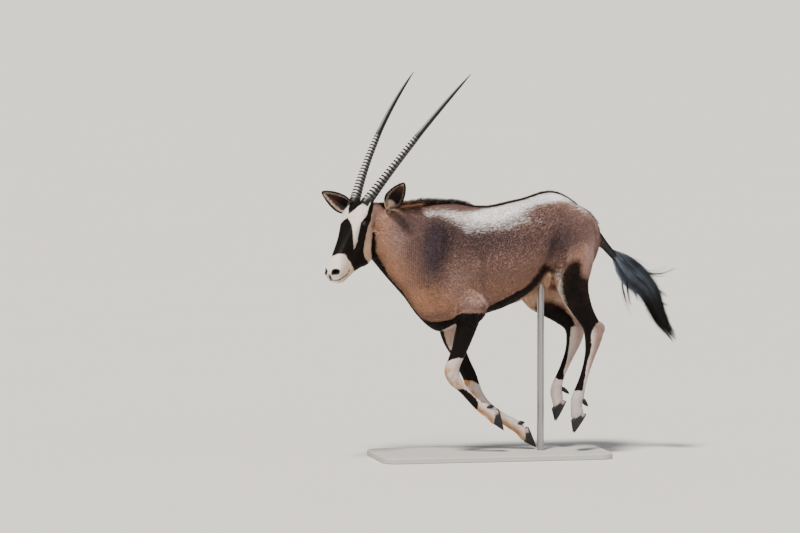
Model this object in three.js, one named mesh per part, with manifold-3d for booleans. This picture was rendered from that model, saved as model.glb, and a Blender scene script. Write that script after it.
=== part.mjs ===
// Gemsbok at full gallop, life size, held off the ground by a plain display stand.
// Millimetres, +Z up. The animal heads along -X, and its left side faces -Y.
// The origin is the centre of the underside of the stand's base.
import * as THREE from 'three';
import { mergeVertices } from 'three/addons/utils/BufferGeometryUtils.js';
import Module from 'manifold-3d';

const wasm = await Module();
wasm.setup();

// Gap between pieces that meet face to face.
const gap = 0.3;

// How far a joined surface may move while its triangles are merged.
const fineness = { flesh: 1.8, tassel: 2, stand: 0.02 };

// Display stand: a flat base with round corners and one upright rod under the groin.
const base = { length: 1060, width: 460, height: 25, corner: 60, bevel: 3 };
const rod = { x: 236, radius: 16, sides: 20, sink: 14 };

// Trunk and neck, from the rump to the throat, as rings that stand across the body.
// Each row: top x, top z, bottom x, bottom z, half width, height of the widest point as a
// share of the ring, sideways shift to the right.
const trunkRows = [
  [506, 1034, 504, 968, 30, 0.5, 0],
  [490, 1066, 488, 900, 84, 0.55, 0],
  [460, 1100, 456, 845, 124, 0.58, 0],
  [414, 1129, 410, 815, 152, 0.62, 0],
  [368, 1164, 366, 808, 170, 0.64, 0],
  [322, 1189, 320, 808, 182, 0.62, 0],
  [276, 1199, 274, 806, 188, 0.58, 0],
  [230, 1193, 230, 774, 192, 0.54, 0],
  [184, 1179, 184, 731, 197, 0.5, 0],
  [138, 1166, 138, 704, 203, 0.48, 0],
  [92, 1156, 92, 688, 206, 0.47, 0],
  [46, 1146, 46, 669, 206, 0.47, 0],
  [0, 1138, 0, 655, 202, 0.47, 0],
  [-46, 1137, -46, 640, 195, 0.48, 0],
  [-92, 1143, -92, 622, 186, 0.5, 0],
  [-138, 1152, -140, 601, 177, 0.52, 0],
  [-184, 1156, -188, 580, 168, 0.52, 0],
  [-226, 1155, -236, 570, 156, 0.5, 0],
  [-262, 1153, -284, 596, 140, 0.48, 0],
  [-292, 1150, -336, 652, 122, 0.47, 1],
  [-328, 1148, -391, 732, 106, 0.46, 5],
  [-372, 1146, -444, 792, 94, 0.46, 11],
  [-420, 1145, -492, 846, 84, 0.47, 18],
  [-480, 1146, -541, 904, 74, 0.5, 28],
  [-536, 1142, -588, 950, 60, 0.5, 37],
];
const trunk = { sides: 24, steps: 1, topPower: 2.1, bottomPower: 1.95 };

// Muscles that swell the trunk: centre, radii along, across and up, and lean in degrees.
const muscles = [
  { at: [-168, 96, 880], radii: [112, 84, 250], lean: 16 },
  { at: [-120, 112, 720], radii: [80, 62, 110], lean: -24 },
  { at: [356, 94, 960], radii: [118, 92, 190], lean: 6 },
];

// Low forms on the middle line of the belly: centre and radii.
const lowForms = [
  { at: [160, 0, 722], radii: [34, 16, 16], lean: 33 },
  { at: [262, 0, 790], radii: [24, 24, 32], lean: 0 },
];

// Tail root, tail shaft and tassel. Each shaft row: x, y, z, half depth, half width.
const shaftRows = [
  [462, 0, 1040, 20, 20],
  [496, 0, 996, 24, 23],
  [533, 0, 951, 20, 19],
  [571, 0, 908, 17.5, 17],
  [611, 0, 866, 15, 15],
  [656, 0, 822, 11, 11],
  [700, 0, 776, 7, 7],
];
const shaft = { sides: 10, steps: 1, dockCut: [578, 0, 905] };
const tassel = {
  path: [[552, 943], [598, 892], [647, 838], [690, 792], [741, 737], [782, 641], [819, 573], [871, 513]],
  rings: [
    { locks: 10, reach: 1, start: 0.05, finish: 0.76, width: 40 },
    { locks: 3, reach: 0.42, start: 0.3, finish: 0.9, width: 30 },
  ],
  shares: [0, 0.17, 0.42, 0.72, 1],
  thickness: 12,
  flatness: 0.62,
  coreShare: 0.5,
  coreEnd: 0.8,
};
// How far the tassel's locks spread from its middle line, at shares of its length.
const tasselSpread = [
  [0, 12], [0.1, 36], [0.24, 59], [0.38, 53], [0.52, 38], [0.66, 30], [0.8, 24], [0.92, 15], [1, 8],
];
// Loose wisps: share of the length where each leaves, edge (1 lower, -1 upper), length, the angle
// below the horizontal at which it starts and ends, in degrees, and place across.
const wisps = [
  { from: 0.27, edge: 1, length: 205, start: 92, end: 48, across: 8 },
  { from: 0.33, edge: 1, length: 140, start: 92, end: 62, across: -12 },
  { from: 0.42, edge: 1, length: 85, start: 84, end: 66, across: 4 },
  { from: 0.36, edge: -1, length: 215, start: 42, end: -14, across: -6 },
  { from: 0.48, edge: -1, length: 165, start: 34, end: 66, across: 10 },
  { from: 0.6, edge: -1, length: 95, start: 24, end: 30, across: 0 },
];

// Legs. Each row: x, y, z, half depth front to back, half width.
const foreLeftRows = [
  [-108, -98, 740, 62, 44],
  [-112, -92, 670, 60, 44],
  [-122, -88, 616, 52, 40],
  [-142, -84, 548, 45, 35],
  [-160, -80, 490, 38, 31],
  [-180, -77, 442, 34, 31],
  [-192, -75, 402, 36, 33],
  [-178, -74, 360, 31, 29],
  [-140, -72, 318, 22.5, 21],
  [-104, -70, 277, 21, 20],
  [-68, -68, 243, 24, 24],
  [-36, -66, 222, 29, 27],
  [-8, -65, 200, 28, 27],
  [12, -64, 181, 30, 29],
  [30, -64, 162, 30, 29],
];
const foreRightRows = [
  [-120, 96, 740, 60, 44],
  [-132, 90, 660, 60, 43],
  [-147, 85, 590, 61, 40],
  [-146, 80, 530, 50, 35],
  [-130, 74, 475, 41, 32],
  [-106, 69, 418, 37, 31],
  [-80, 66, 366, 35, 31],
  [-63, 65, 317, 34, 32],
  [-38, 64, 274, 27, 26],
  [-5, 63, 235, 22, 21],
  [40, 62, 197, 21, 20],
  [82, 61, 164, 25, 24],
  [120, 60, 141, 29, 27],
  [149, 60, 120, 27, 27],
  [172, 60, 99, 30, 29],
  [188, 60, 80, 30, 29],
];
const hindLeftRows = [
  [392, -72, 1060, 70, 52],
  [382, -96, 985, 92, 76],
  [362, -114, 890, 92, 78],
  [352, -121, 815, 84, 66],
  [364, -122, 750, 70, 54],
  [390, -116, 690, 57, 44],
  [420, -107, 640, 46, 37],
  [446, -98, 600, 42, 33],
  [460, -93, 564, 46, 33],
  [457, -90, 520, 38, 30],
  [446, -89, 466, 27, 23],
  [431, -88, 410, 22, 20],
  [414, -88, 354, 21.5, 19],
  [400, -88, 310, 25, 23],
  [388, -88, 268, 30, 28],
  [382, -88, 232, 28, 28],
  [386, -88, 202, 31, 30],
  [388, -88, 176, 31, 30],
];
const hindRightRows = [
  [372, 72, 1060, 70, 52],
  [338, 96, 970, 96, 76],
  [284, 114, 868, 98, 76],
  [236, 119, 780, 84, 62],
  [250, 116, 718, 66, 52],
  [300, 108, 676, 54, 43],
  [352, 100, 634, 45, 37],
  [394, 94, 598, 42, 33],
  [416, 90, 564, 45, 33],
  [412, 86, 516, 38, 30],
  [394, 83, 460, 27, 23],
  [370, 80, 404, 22, 20],
  [346, 77, 352, 21.5, 19],
  [331, 75, 312, 26, 24],
  [328, 75, 278, 30, 28],
  [334, 75, 244, 28, 28],
  [344, 75, 214, 31, 30],
  [350, 75, 190, 31, 30],
];
const legShape = { sides: 12, steps: 1 };

// Feet: the back end and the toe of the sole, and the way up from the sole to the hoof's front.
// The claws taper from the coronet, where the skin ends, to the sole.
const hoof = {
  soleLength: 98,
  coronetBack: 8,
  coronetFront: 62,
  heelHeight: 20,
  frontHeight: 38,
  halfWidth: 14,
  cleft: 1.2,
  splay: 2.6,
  sides: 12,
};
const legs = [
  {
    name: 'foreleg_left', upper: 'forearm', rows: foreLeftRows,
    heel: [24, -64, 226], toe: [48, -62, 130], front: [-1, 0, -0.25],
    topCut: [-123, -88, 596], kneeCut: [-186, -75, 378], ankleCut: [-66, -68, 242],
  },
  {
    name: 'foreleg_right', upper: 'forearm', rows: foreRightRows,
    heel: [190, 60, 128], toe: [227, 60, 37], front: [-1, 0, -0.4],
    topCut: [-147, 85, 584], kneeCut: [-52, 64, 296], ankleCut: [84, 61, 162],
  },
  {
    name: 'hindleg_left', upper: 'gaskin', rows: hindLeftRows,
    heel: [426, -88, 196], toe: [366, -88, 105], front: [-1, 0, 0.6],
    topCut: [376, -120, 722], kneeCut: [459, -91, 538], ankleCut: [403, -88, 318],
  },
  {
    name: 'hindleg_right', upper: 'gaskin', rows: hindRightRows,
    heel: [371, 75, 240], toe: [324, 75, 151], front: [-1, 0, 0.5],
    topCut: [272, 113, 700], kneeCut: [413, 87, 538], ankleCut: [334, 75, 318],
  },
];
const dewclaw = { length: 30, halfWidth: 7.5, side: 13, back: 22 };

// Head. It turns to the left of the body's line and hangs down; its own axes are the way
// towards the nose, the way out of the forehead, and the way to its left.
const headPlace = { origin: [-627, -85, 1176], turn: 38, pitch: 55 };
// Each row: distance towards the nose, top, bottom, half width, height of the widest point,
// squareness of the lower half.
const headRows = [
  [-66, -118, -150, 22, 0.5, 2],
  [-50, -92, -156, 42, 0.55, 2],
  [-32, -62, -150, 54, 0.62, 2],
  [-12, -30, -140, 59, 0.7, 2],
  [10, -8, -132, 62, 0.74, 2],
  [34, 1, -126, 65, 0.77, 2],
  [62, 4, -132, 68, 0.79, 2],
  [96, 3, -150, 67, 0.79, 2.2],
  [132, 1, -174, 58, 0.78, 2.6],
  [166, -2, -194, 52, 0.75, 2.9],
  [194, -3, -196, 46.5, 0.71, 3],
  [222, -4, -181, 42, 0.68, 3],
  [254, -5, -162, 39, 0.65, 3],
  [286, -6, -142, 38, 0.63, 3],
  [314, -7, -130, 40.5, 0.61, 3],
  [340, -8, -121, 42, 0.6, 3],
  [360, -13, -112, 41, 0.57, 2.8],
  [375, -24, -99, 34, 0.55, 2.5],
  [384, -40, -80, 19, 0.5, 2.2],
];
const head = { sides: 20, steps: 1, topPower: 2.7 };
const eye = {
  along: 88, out: -37, side: 46, radius: 19.5, lid: 3.6,
  slitLength: 40, slitHeight: 24, slitLean: [0.25, 0.1],
};
const mouth = { frontAlong: 382, frontOut: -52, cornerAlong: 306, cornerOut: -88, half: 46, height: 3.2 };
const nostril = { along: 362, out: -24, side: 27, radii: [11, 5, 8] };
const lip = { along: 352, out: -62, side: 29, radii: [30, 12, 17] };
// Swellings of the skull: the rim over each eye, the stem of each horn and the root of each ear.
const brow = { along: 64, out: -17, side: 54, radii: [32, 14, 15] };
const stem = { along: -4, out: -26, side: 35, radii: [28, 28, 30] };

// Horns: nearly straight, with a slight bow forwards and outwards, ringed over the lower part.
const horn = {
  along: -14, out: -22, side: 36.5, sink: 26,
  back: 777, drop: 150, spread: 132, bowFront: 24.5, bowSide: 16,
  ridges: 21, ridgeStart: 0.03, ridgedShare: 0.5, ridgeHeight: 2.6, ridgeSides: 8,
  socketStations: 8, smoothSteps: 9,
};

// Half the thickness of a horn at shares of its length.
const hornRadii = [
  [0, 25.5], [0.1, 21.7], [0.25, 18], [0.42, 15.6], [0.52, 12.6], [0.67, 11], [0.8, 8.8], [0.9, 6.2],
  [0.97, 3.4], [1, 1.8],
];

// Ears: the direction of each from its root, as left, up and forward parts.
const ear = {
  length: 196, half: 40, wall: 4, root: 17, sink: 15, rootSides: 10, points: 7,
  leafStart: 0.12, widest: 0.54, tip: 2,
};
// For each ear: its root in the head's own axes, the way it points as left, up and forward
// parts, and the way its cup faces, in the same parts.
const earPlaces = {
  left: { along: -44, out: -127, side: 71, aim: [147, 120, 63], face: [0.3, -0.35, 0.85] },
  right: { along: 8, out: -97, side: -63, aim: [-150, 90, 76], face: [0.6, -0.1, 0.78] },
};

// Mane along the crest of the neck and over the withers.
const mane = { rows: 20, length: 50, width: 24, thickness: 8, from: -512, to: -96 };

const colours = {
  coat: 0xa58f83, dark: 0x1d1a1a, white: 0xe6e0d8, horn: 0x3b3735, hoof: 0x2c2a2b,
  eye: 0x1a110b, mane: 0x2a201c, stand: 0xbab7b1, rod: 0x8d9094,
};

// Turns a closed geometry into a solid that can be joined and cut.
function solidOf(geometry) {
  const bare = geometry.clone();
  bare.deleteAttribute('normal');
  bare.deleteAttribute('uv');
  const merged = mergeVertices(bare, 1e-4);
  return new wasm.Manifold(new wasm.Mesh({
    numProp: 3,
    vertProperties: new Float32Array(merged.attributes.position.array),
    triVerts: new Uint32Array(merged.index.array),
  }));
}

// Keeps only the largest closed surface of a solid.
function largest(solid) {
  const pieces = solid.decompose();
  pieces.sort((a, b) => b.volume() - a.volume());
  return pieces[0];
}

// Turns a solid back into geometry for a mesh.
function geometryOf(solid) {
  const mesh = solid.getMesh();
  const geometry = new THREE.BufferGeometry();
  const positions = new Float32Array(mesh.numVert * 3);
  for (let i = 0; i < mesh.numVert; i += 1) {
    for (let k = 0; k < 3; k += 1) {
      positions[i * 3 + k] = mesh.vertProperties[i * mesh.numProp + k];
    }
  }
  geometry.setAttribute('position', new THREE.BufferAttribute(positions, 3));
  geometry.setIndex(new THREE.BufferAttribute(new Uint32Array(mesh.triVerts), 1));
  geometry.computeVertexNormals();
  return geometry;
}

// Joins solids into one.
function join(solids) {
  return solids.reduce((sum, next) => sum.add(next));
}

// A closed skin over rings that all have the same number of points, with a flat fan at each end.
function loftOf(rings) {
  const count = rings[0].length;
  const positions = [];
  const index = [];
  rings.forEach((ring) => ring.forEach((p) => positions.push(p.x, p.y, p.z)));
  for (let r = 0; r + 1 < rings.length; r += 1) {
    for (let i = 0; i < count; i += 1) {
      const a = r * count + i;
      const b = r * count + ((i + 1) % count);
      index.push(a, b, b + count, a, b + count, a + count);
    }
  }
  [0, rings.length - 1].forEach((r) => {
    const middle = new THREE.Vector3();
    rings[r].forEach((p) => middle.addScaledVector(p, 1 / count));
    const centre = positions.length / 3;
    positions.push(middle.x, middle.y, middle.z);
    for (let i = 0; i < count; i += 1) {
      const a = r * count + i;
      const b = r * count + ((i + 1) % count);
      if (r === 0) {
        index.push(centre, b, a);
      } else {
        index.push(centre, a, b);
      }
    }
  });
  const geometry = new THREE.BufferGeometry();
  geometry.setAttribute('position', new THREE.Float32BufferAttribute(positions, 3));
  geometry.setIndex(index);
  const solid = solidOf(geometry);
  if (solid.volume() > 0) {
    return solid;
  }
  geometry.setIndex(index.map((v, i) => index[i - (i % 3) + 2 - (i % 3)]));
  return solidOf(geometry);
}

// Smooth values between the rows of a table, with the given number of steps between two rows.
function smoothRows(rows, steps) {
  const result = [];
  for (let r = 0; r + 1 < rows.length; r += 1) {
    const p0 = rows[Math.max(r - 1, 0)];
    const p1 = rows[r];
    const p2 = rows[r + 1];
    const p3 = rows[Math.min(r + 2, rows.length - 1)];
    for (let s = 0; s < steps; s += 1) {
      const t = s / steps;
      result.push(p1.map((v, k) => 0.5 * (2 * v + (p2[k] - p0[k]) * t
        + (2 * p0[k] - 5 * v + 4 * p2[k] - p3[k]) * t * t
        + (3 * v - p0[k] - 3 * p2[k] + p3[k]) * t * t * t)));
    }
  }
  result.push([...rows[rows.length - 1]]);
  return result;
}

// Signed power of a sine or cosine, which squares or sharpens an oval.
function bend(value, power) {
  return Math.sign(value) * Math.abs(value) ** (2 / power);
}

// One oval ring: across is half the width, up and down reach from the widest level.
function ovalRing(centre, sideAxis, upAxis, across, up, down, sides, topPower, bottomPower) {
  const ring = [];
  for (let i = 0; i < sides; i += 1) {
    const angle = (2 * Math.PI * i) / sides;
    const c = Math.cos(angle);
    const s = Math.sin(angle);
    const power = s >= 0 ? topPower : bottomPower;
    const point = centre.clone();
    point.addScaledVector(sideAxis, across * bend(c, power));
    point.addScaledVector(upAxis, (s >= 0 ? up : down) * bend(s, power));
    ring.push(point);
  }
  return ring;
}

// Trunk and neck in one loft.
function trunkSolid() {
  const rows = smoothRows(trunkRows, trunk.steps);
  const centres = rows.map((r) => new THREE.Vector3((r[0] + r[2]) / 2, -r[6], (r[1] + r[3]) / 2));
  const rings = rows.map((r, i) => {
    const before = centres[Math.max(i - 1, 0)];
    const after = centres[Math.min(i + 1, centres.length - 1)];
    const turn = Math.atan2(after.y - before.y, before.x - after.x);
    const side = new THREE.Vector3(Math.sin(turn), Math.cos(turn), 0);
    const top = new THREE.Vector3(r[0], -r[6], r[1]);
    const bottom = new THREE.Vector3(r[2], -r[6], r[3]);
    const up = top.clone().sub(bottom);
    const height = up.length();
    const centre = bottom.clone().addScaledVector(up, r[5]);
    up.normalize();
    return ovalRing(centre, side, up, r[4], height * (1 - r[5]), height * r[5], trunk.sides,
      trunk.topPower, trunk.bottomPower);
  });
  return loftOf(rings);
}

// A tube of oval rings square to a path that bends mostly in the upright plane.
function tubeSolid(table, steps, sides, grow = 0) {
  const rows = smoothRows(table, steps);
  const centres = rows.map((r) => new THREE.Vector3(r[0], r[1], r[2]));
  const rings = rows.map((r, i) => {
    const before = centres[Math.max(i - 1, 0)];
    const after = centres[Math.min(i + 1, centres.length - 1)];
    const along = after.clone().sub(before).normalize();
    const side = new THREE.Vector3(0, 1, 0).addScaledVector(along, -along.y).normalize();
    const depth = new THREE.Vector3().crossVectors(along, side);
    return ovalRing(centres[i], side, depth, r[4] + grow, r[3] + grow, r[3] + grow, sides, 2.1, 2.1);
  });
  return loftOf(rings);
}

// An ellipsoid, leaning in the upright plane.
function blobSolid(centre, radii, lean, mirror) {
  const ball = new THREE.SphereGeometry(1, 12, 8);
  ball.scale(radii[0], radii[1], radii[2]);
  ball.rotateY(THREE.MathUtils.degToRad(lean));
  ball.translate(centre[0], centre[1] * mirror, centre[2]);
  return solidOf(ball);
}

// Cuts a solid by a plane through a point and keeps the side the direction points to.
function keepSide(solid, point, direction, inset = gap / 2) {
  const normal = direction.clone().normalize();
  return solid.trimByPlane(normal.toArray(), normal.dot(point) + inset);
}

// Cuts a solid in two at a plane, with the gap between the two pieces.
function splitAt(solid, point, direction) {
  return [keepSide(solid, point, direction), keepSide(solid, point, direction.clone().negate())];
}

// The direction a leg runs at the point nearest to the given place.
function runAt(rows, place) {
  const dense = smoothRows(rows, 6).map((r) => new THREE.Vector3(r[0], r[1], r[2]));
  let best = 1;
  for (let i = 1; i + 1 < dense.length; i += 1) {
    if (dense[i].distanceTo(place) < dense[best].distanceTo(place)) {
      best = i;
    }
  }
  return dense[best + 1].clone().sub(dense[best - 1]).normalize();
}

// The frame of a foot: along the sole to the toe, up out of the sole, and across.
function footFrame(leg) {
  const heel = new THREE.Vector3(...leg.heel);
  const along = new THREE.Vector3(...leg.toe).sub(heel).normalize();
  const up = new THREE.Vector3(...leg.front);
  up.addScaledVector(along, -up.dot(along)).normalize();
  const across = new THREE.Vector3().crossVectors(up, along);
  return { heel, along, up, across };
}

// A point on the foot from its distance along the sole, height and distance across.
function footPoint(frame, along, up, across) {
  return frame.heel.clone().addScaledVector(frame.along, along).addScaledVector(frame.up, up)
    .addScaledVector(frame.across, across);
}

// One claw of a hoof, side +1 or -1: pointed at the toe, wider at the sole than at the coronet.
function clawSolid(frame, side) {
  const levels = [0, 0.15, 0.6, 1];
  const rings = levels.map((t) => {
    const back = t * hoof.coronetBack;
    const front = hoof.soleLength + t * (hoof.coronetFront - hoof.soleLength);
    const lowBack = t * hoof.heelHeight;
    const lowFront = t * hoof.frontHeight;
    const belly = 1 - 0.12 * t - (t === 0 ? 0.1 : 0);
    const ring = [];
    for (let i = 0; i < hoof.sides; i += 1) {
      const angle = (2 * Math.PI * i) / hoof.sides;
      const c = Math.cos(angle);
      const share = (1 + c) / 2;
      const narrow = 1 - 0.62 * (1 - 0.55 * t) * share ** 3;
      const half = hoof.halfWidth * belly * narrow;
      const middle = side * (hoof.cleft + hoof.halfWidth + hoof.splay * share * (1 - t));
      const across = middle + half * bend(Math.sin(angle), 2.4) - side * (hoof.halfWidth - half) * 0.5;
      const along = back + share * (front - back);
      ring.push(footPoint(frame, along, lowBack + share * (lowFront - lowBack), across));
    }
    return ring;
  });
  return loftOf(rings);
}

// The two small dewclaws behind the fetlock.
function dewclawSolids(leg, frame) {
  const run = runAt(leg.rows, new THREE.Vector3(...leg.ankleCut)).clone();
  const rear = frame.up.clone().multiplyScalar(-1);
  rear.addScaledVector(run, -rear.dot(run)).normalize();
  const index = leg.rows.length - 4;
  const start = new THREE.Vector3(leg.rows[index][0], leg.rows[index][1], leg.rows[index][2]);
  return [-1, 1].map((side) => {
    const root = start.clone().addScaledVector(rear, dewclaw.back - 6)
      .addScaledVector(frame.across, side * dewclaw.side);
    const aim = rear.clone().multiplyScalar(0.75).addScaledVector(run, 0.7).normalize();
    const lift = new THREE.Vector3().crossVectors(aim, frame.across).normalize();
    const rings = [0, 0.5, 0.85, 1].map((t) => {
      const size = dewclaw.halfWidth * [1, 1, 0.72, 0.3][Math.round(t * 3)];
      const centre = root.clone().addScaledVector(aim, dewclaw.length * t);
      return ovalRing(centre, frame.across, lift, size * 1.15, size, size, 6, 2, 2);
    });
    return loftOf(rings);
  });
}

// Cuts one leg into its lengths and adds the claws.
function legPieces(leg) {
  const frame = footFrame(leg);
  const whole = tubeSolid(leg.rows, legShape.steps, legShape.sides);
  const topPoint = new THREE.Vector3(...leg.topCut);
  const kneePoint = new THREE.Vector3(...leg.kneeCut);
  const anklePoint = new THREE.Vector3(...leg.ankleCut);
  const coronetPoint = footPoint(frame, hoof.coronetBack, hoof.heelHeight, 0);
  const coronetLine = footPoint(frame, hoof.coronetFront, hoof.frontHeight, 0).sub(coronetPoint);
  const coronetNormal = new THREE.Vector3().crossVectors(coronetLine, frame.across).normalize();
  if (coronetNormal.dot(frame.up) < 0) {
    coronetNormal.negate();
  }
  const topRun = runAt(leg.rows, topPoint);
  topRun.y = Math.sign(leg.rows[0][1]) * 0.25;
  const [lower, top] = splitAt(whole, topPoint, topRun);
  const [belowKnee, upper] = splitAt(lower, kneePoint, runAt(leg.rows, kneePoint));
  const [belowAnkle, cannon] = splitAt(belowKnee, anklePoint, runAt(leg.rows, anklePoint));
  const foot = join([belowAnkle, ...dewclawSolids(leg, frame)]);
  const pastern = keepSide(foot, coronetPoint, coronetNormal, gap);
  return {
    top,
    upper: largest(upper),
    cannon: largest(cannon),
    pastern: largest(pastern),
    claws: [clawSolid(frame, -1), clawSolid(frame, 1)],
  };
}

// The head's own axes in the shared frame.
function headFrame() {
  const turn = THREE.MathUtils.degToRad(headPlace.turn);
  const pitch = THREE.MathUtils.degToRad(headPlace.pitch);
  const heading = new THREE.Vector3(-Math.cos(turn), -Math.sin(turn), 0);
  const up = new THREE.Vector3(0, 0, 1);
  const nose = heading.clone().multiplyScalar(Math.cos(pitch)).addScaledVector(up, -Math.sin(pitch));
  const out = heading.clone().multiplyScalar(Math.sin(pitch)).addScaledVector(up, Math.cos(pitch));
  const left = new THREE.Vector3().crossVectors(up, heading);
  return { heading, up, nose, out, left, origin: new THREE.Vector3(...headPlace.origin) };
}
const hf = headFrame();

// A point given in the head's own axes.
function headPoint(along, out, side) {
  return hf.origin.clone().addScaledVector(hf.nose, along).addScaledVector(hf.out, out)
    .addScaledVector(hf.left, side);
}

// An ellipsoid in the head's own axes: radii along, across and out.
function headBlob(along, out, side, radii, widthSegments = 8, heightSegments = 6) {
  const ball = new THREE.SphereGeometry(1, widthSegments, heightSegments);
  ball.scale(radii[0], radii[1], radii[2]);
  const turn = new THREE.Matrix4().makeBasis(hf.nose, hf.left.clone().negate(), hf.out);
  if (turn.determinant() < 0) {
    turn.makeBasis(hf.nose, hf.left, hf.out);
  }
  ball.applyMatrix4(turn);
  const place = headPoint(along, out, side);
  ball.translate(place.x, place.y, place.z);
  return solidOf(ball);
}

// The head without ears, eyes and horns.
function headSolid() {
  const rows = smoothRows(headRows, head.steps);
  const rings = rows.map((r) => {
    const height = r[1] - r[2];
    const centre = headPoint(r[0], r[2] + height * r[4], 0);
    return ovalRing(centre, hf.left, hf.out, r[3], height * (1 - r[4]), height * r[4], head.sides,
      head.topPower, r[5]);
  });
  const pieces = [loftOf(rings)];
  [-1, 1].forEach((side) => {
    pieces.push(headBlob(eye.along, eye.out, side * eye.side,
      [eye.radius + eye.lid + 4, eye.radius + eye.lid, eye.radius + eye.lid + 1], 12, 8));
    pieces.push(headBlob(lip.along, lip.out, side * lip.side, lip.radii));
    pieces.push(headBlob(brow.along, brow.out, side * brow.side, brow.radii));
    pieces.push(headBlob(stem.along, stem.out, side * stem.side, stem.radii));
  });
  return join(pieces);
}

// A lens-shaped cutter that opens the lids over an eyeball.
function slitSolid(side) {
  const centre = headPoint(eye.along, eye.out, side * eye.side);
  const aim = hf.left.clone().multiplyScalar(side).addScaledVector(hf.out, eye.slitLean[0])
    .addScaledVector(hf.nose, eye.slitLean[1]).normalize();
  const length = hf.nose.clone().addScaledVector(aim, -hf.nose.dot(aim)).normalize();
  const height = new THREE.Vector3().crossVectors(aim, length);
  const rings = [0.55, 1.6].map((distance) => {
    const middle = centre.clone().addScaledVector(aim, eye.radius * distance);
    const flare = 0.8 + 0.2 * distance;
    const halfHeight = (eye.slitHeight / 2) * flare;
    const halfLength = (eye.slitLength / 2) * flare;
    return ovalRing(middle, length, height, halfLength, halfHeight, halfHeight, 16, 1.7, 1.7);
  });
  return loftOf(rings);
}

// The groove of the mouth, a flat wedge from the front of the lips back to their corners.
function mouthSolid() {
  const line = [
    [mouth.frontAlong + 20, mouth.frontOut + 9, 1],
    [mouth.frontAlong - 12, mouth.frontOut - 5, 1],
    [mouth.cornerAlong, mouth.cornerOut, 0.5],
  ];
  const rings = line.map(([along, out, share]) => {
    const half = (mouth.height / 2) * share;
    return [
      headPoint(along, out + half, -mouth.half),
      headPoint(along, out + half, mouth.half),
      headPoint(along, out - half, mouth.half),
      headPoint(along, out - half, -mouth.half),
    ];
  });
  const core = headBlob(336, -62, 0, [52, 33, 60], 12, 8);
  return loftOf(rings).subtract(core);
}

// Half the thickness of a horn at a share of its length.
function hornRadius(t) {
  const next = Math.max(hornRadii.findIndex((entry) => entry[0] >= t), 1);
  const [t0, r0] = hornRadii[next - 1];
  const [t1, r1] = hornRadii[next];
  return r0 + ((r1 - r0) * (t - t0)) / (t1 - t0);
}

// Places along a horn with its radius there: the sunk root, the ridges and the smooth upper part.
function hornStations() {
  const rootRadius = hornRadius(0) - 1;
  const stations = [[-horn.sink / horn.back, rootRadius], [0.015, rootRadius]];
  const pitch = (horn.ridgedShare - horn.ridgeStart) / horn.ridges;
  for (let i = 0; i < horn.ridges; i += 1) {
    const from = horn.ridgeStart + pitch * i;
    const swell = horn.ridgeHeight * 0.5 * (1 - 0.45 * (i / horn.ridges));
    stations.push([from, hornRadius(from) - swell]);
    stations.push([from + pitch * 0.55, hornRadius(from) + swell]);
  }
  for (let i = 0; i <= horn.smoothSteps; i += 1) {
    const t = horn.ridgedShare + ((1 - horn.ridgedShare) * i) / horn.smoothSteps;
    stations.push([t, hornRadius(t)]);
  }
  return stations;
}

// A horn, side +1 left or -1 right. With grow it is only the root, widened for the socket.
function hornSolid(side, grow = 0) {
  const base = headPoint(horn.along, horn.out, side * horn.side);
  const tip = headPoint(horn.along - horn.back, horn.out - horn.drop, side * (horn.side + horn.spread));
  const run = tip.clone().sub(base);
  const direction = run.clone().normalize();
  const across = hf.left.clone().addScaledVector(direction, -hf.left.dot(direction)).normalize();
  const front = new THREE.Vector3().crossVectors(across, direction);
  if (front.dot(hf.out) < 0) {
    front.negate();
  }
  const all = hornStations();
  const stations = grow > 0 ? all.slice(0, horn.socketStations) : all;
  const rings = stations.map(([t, radius], i) => {
    const bow = Math.max(4 * t * (1 - t), 0);
    const centre = base.clone().addScaledVector(run, t);
    centre.addScaledVector(front, horn.bowFront * bow);
    centre.addScaledVector(across, side * horn.bowSide * bow);
    if (i === 0) {
      centre.addScaledVector(direction, -grow);
    }
    const size = radius + grow;
    return ovalRing(centre, across, front, radius * 0.94 + grow, size, size, horn.ridgeSides, 2, 2);
  });
  return loftOf(rings);
}

// Half the width of an ear's leaf at a share of its length: it opens from the root to its
// widest place and closes in a curve to the tip.
function earHalfWidth(t) {
  if (t < ear.widest) {
    const share = (t - ear.leafStart) / (ear.widest - ear.leafStart);
    return ear.root + (ear.half - ear.root) * Math.sin((Math.PI / 2) * share);
  }
  const share = (t - ear.widest) / (1 - ear.widest);
  return (ear.half - ear.tip) * (1 - share ** 1.7) ** 0.8 + ear.tip;
}

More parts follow.
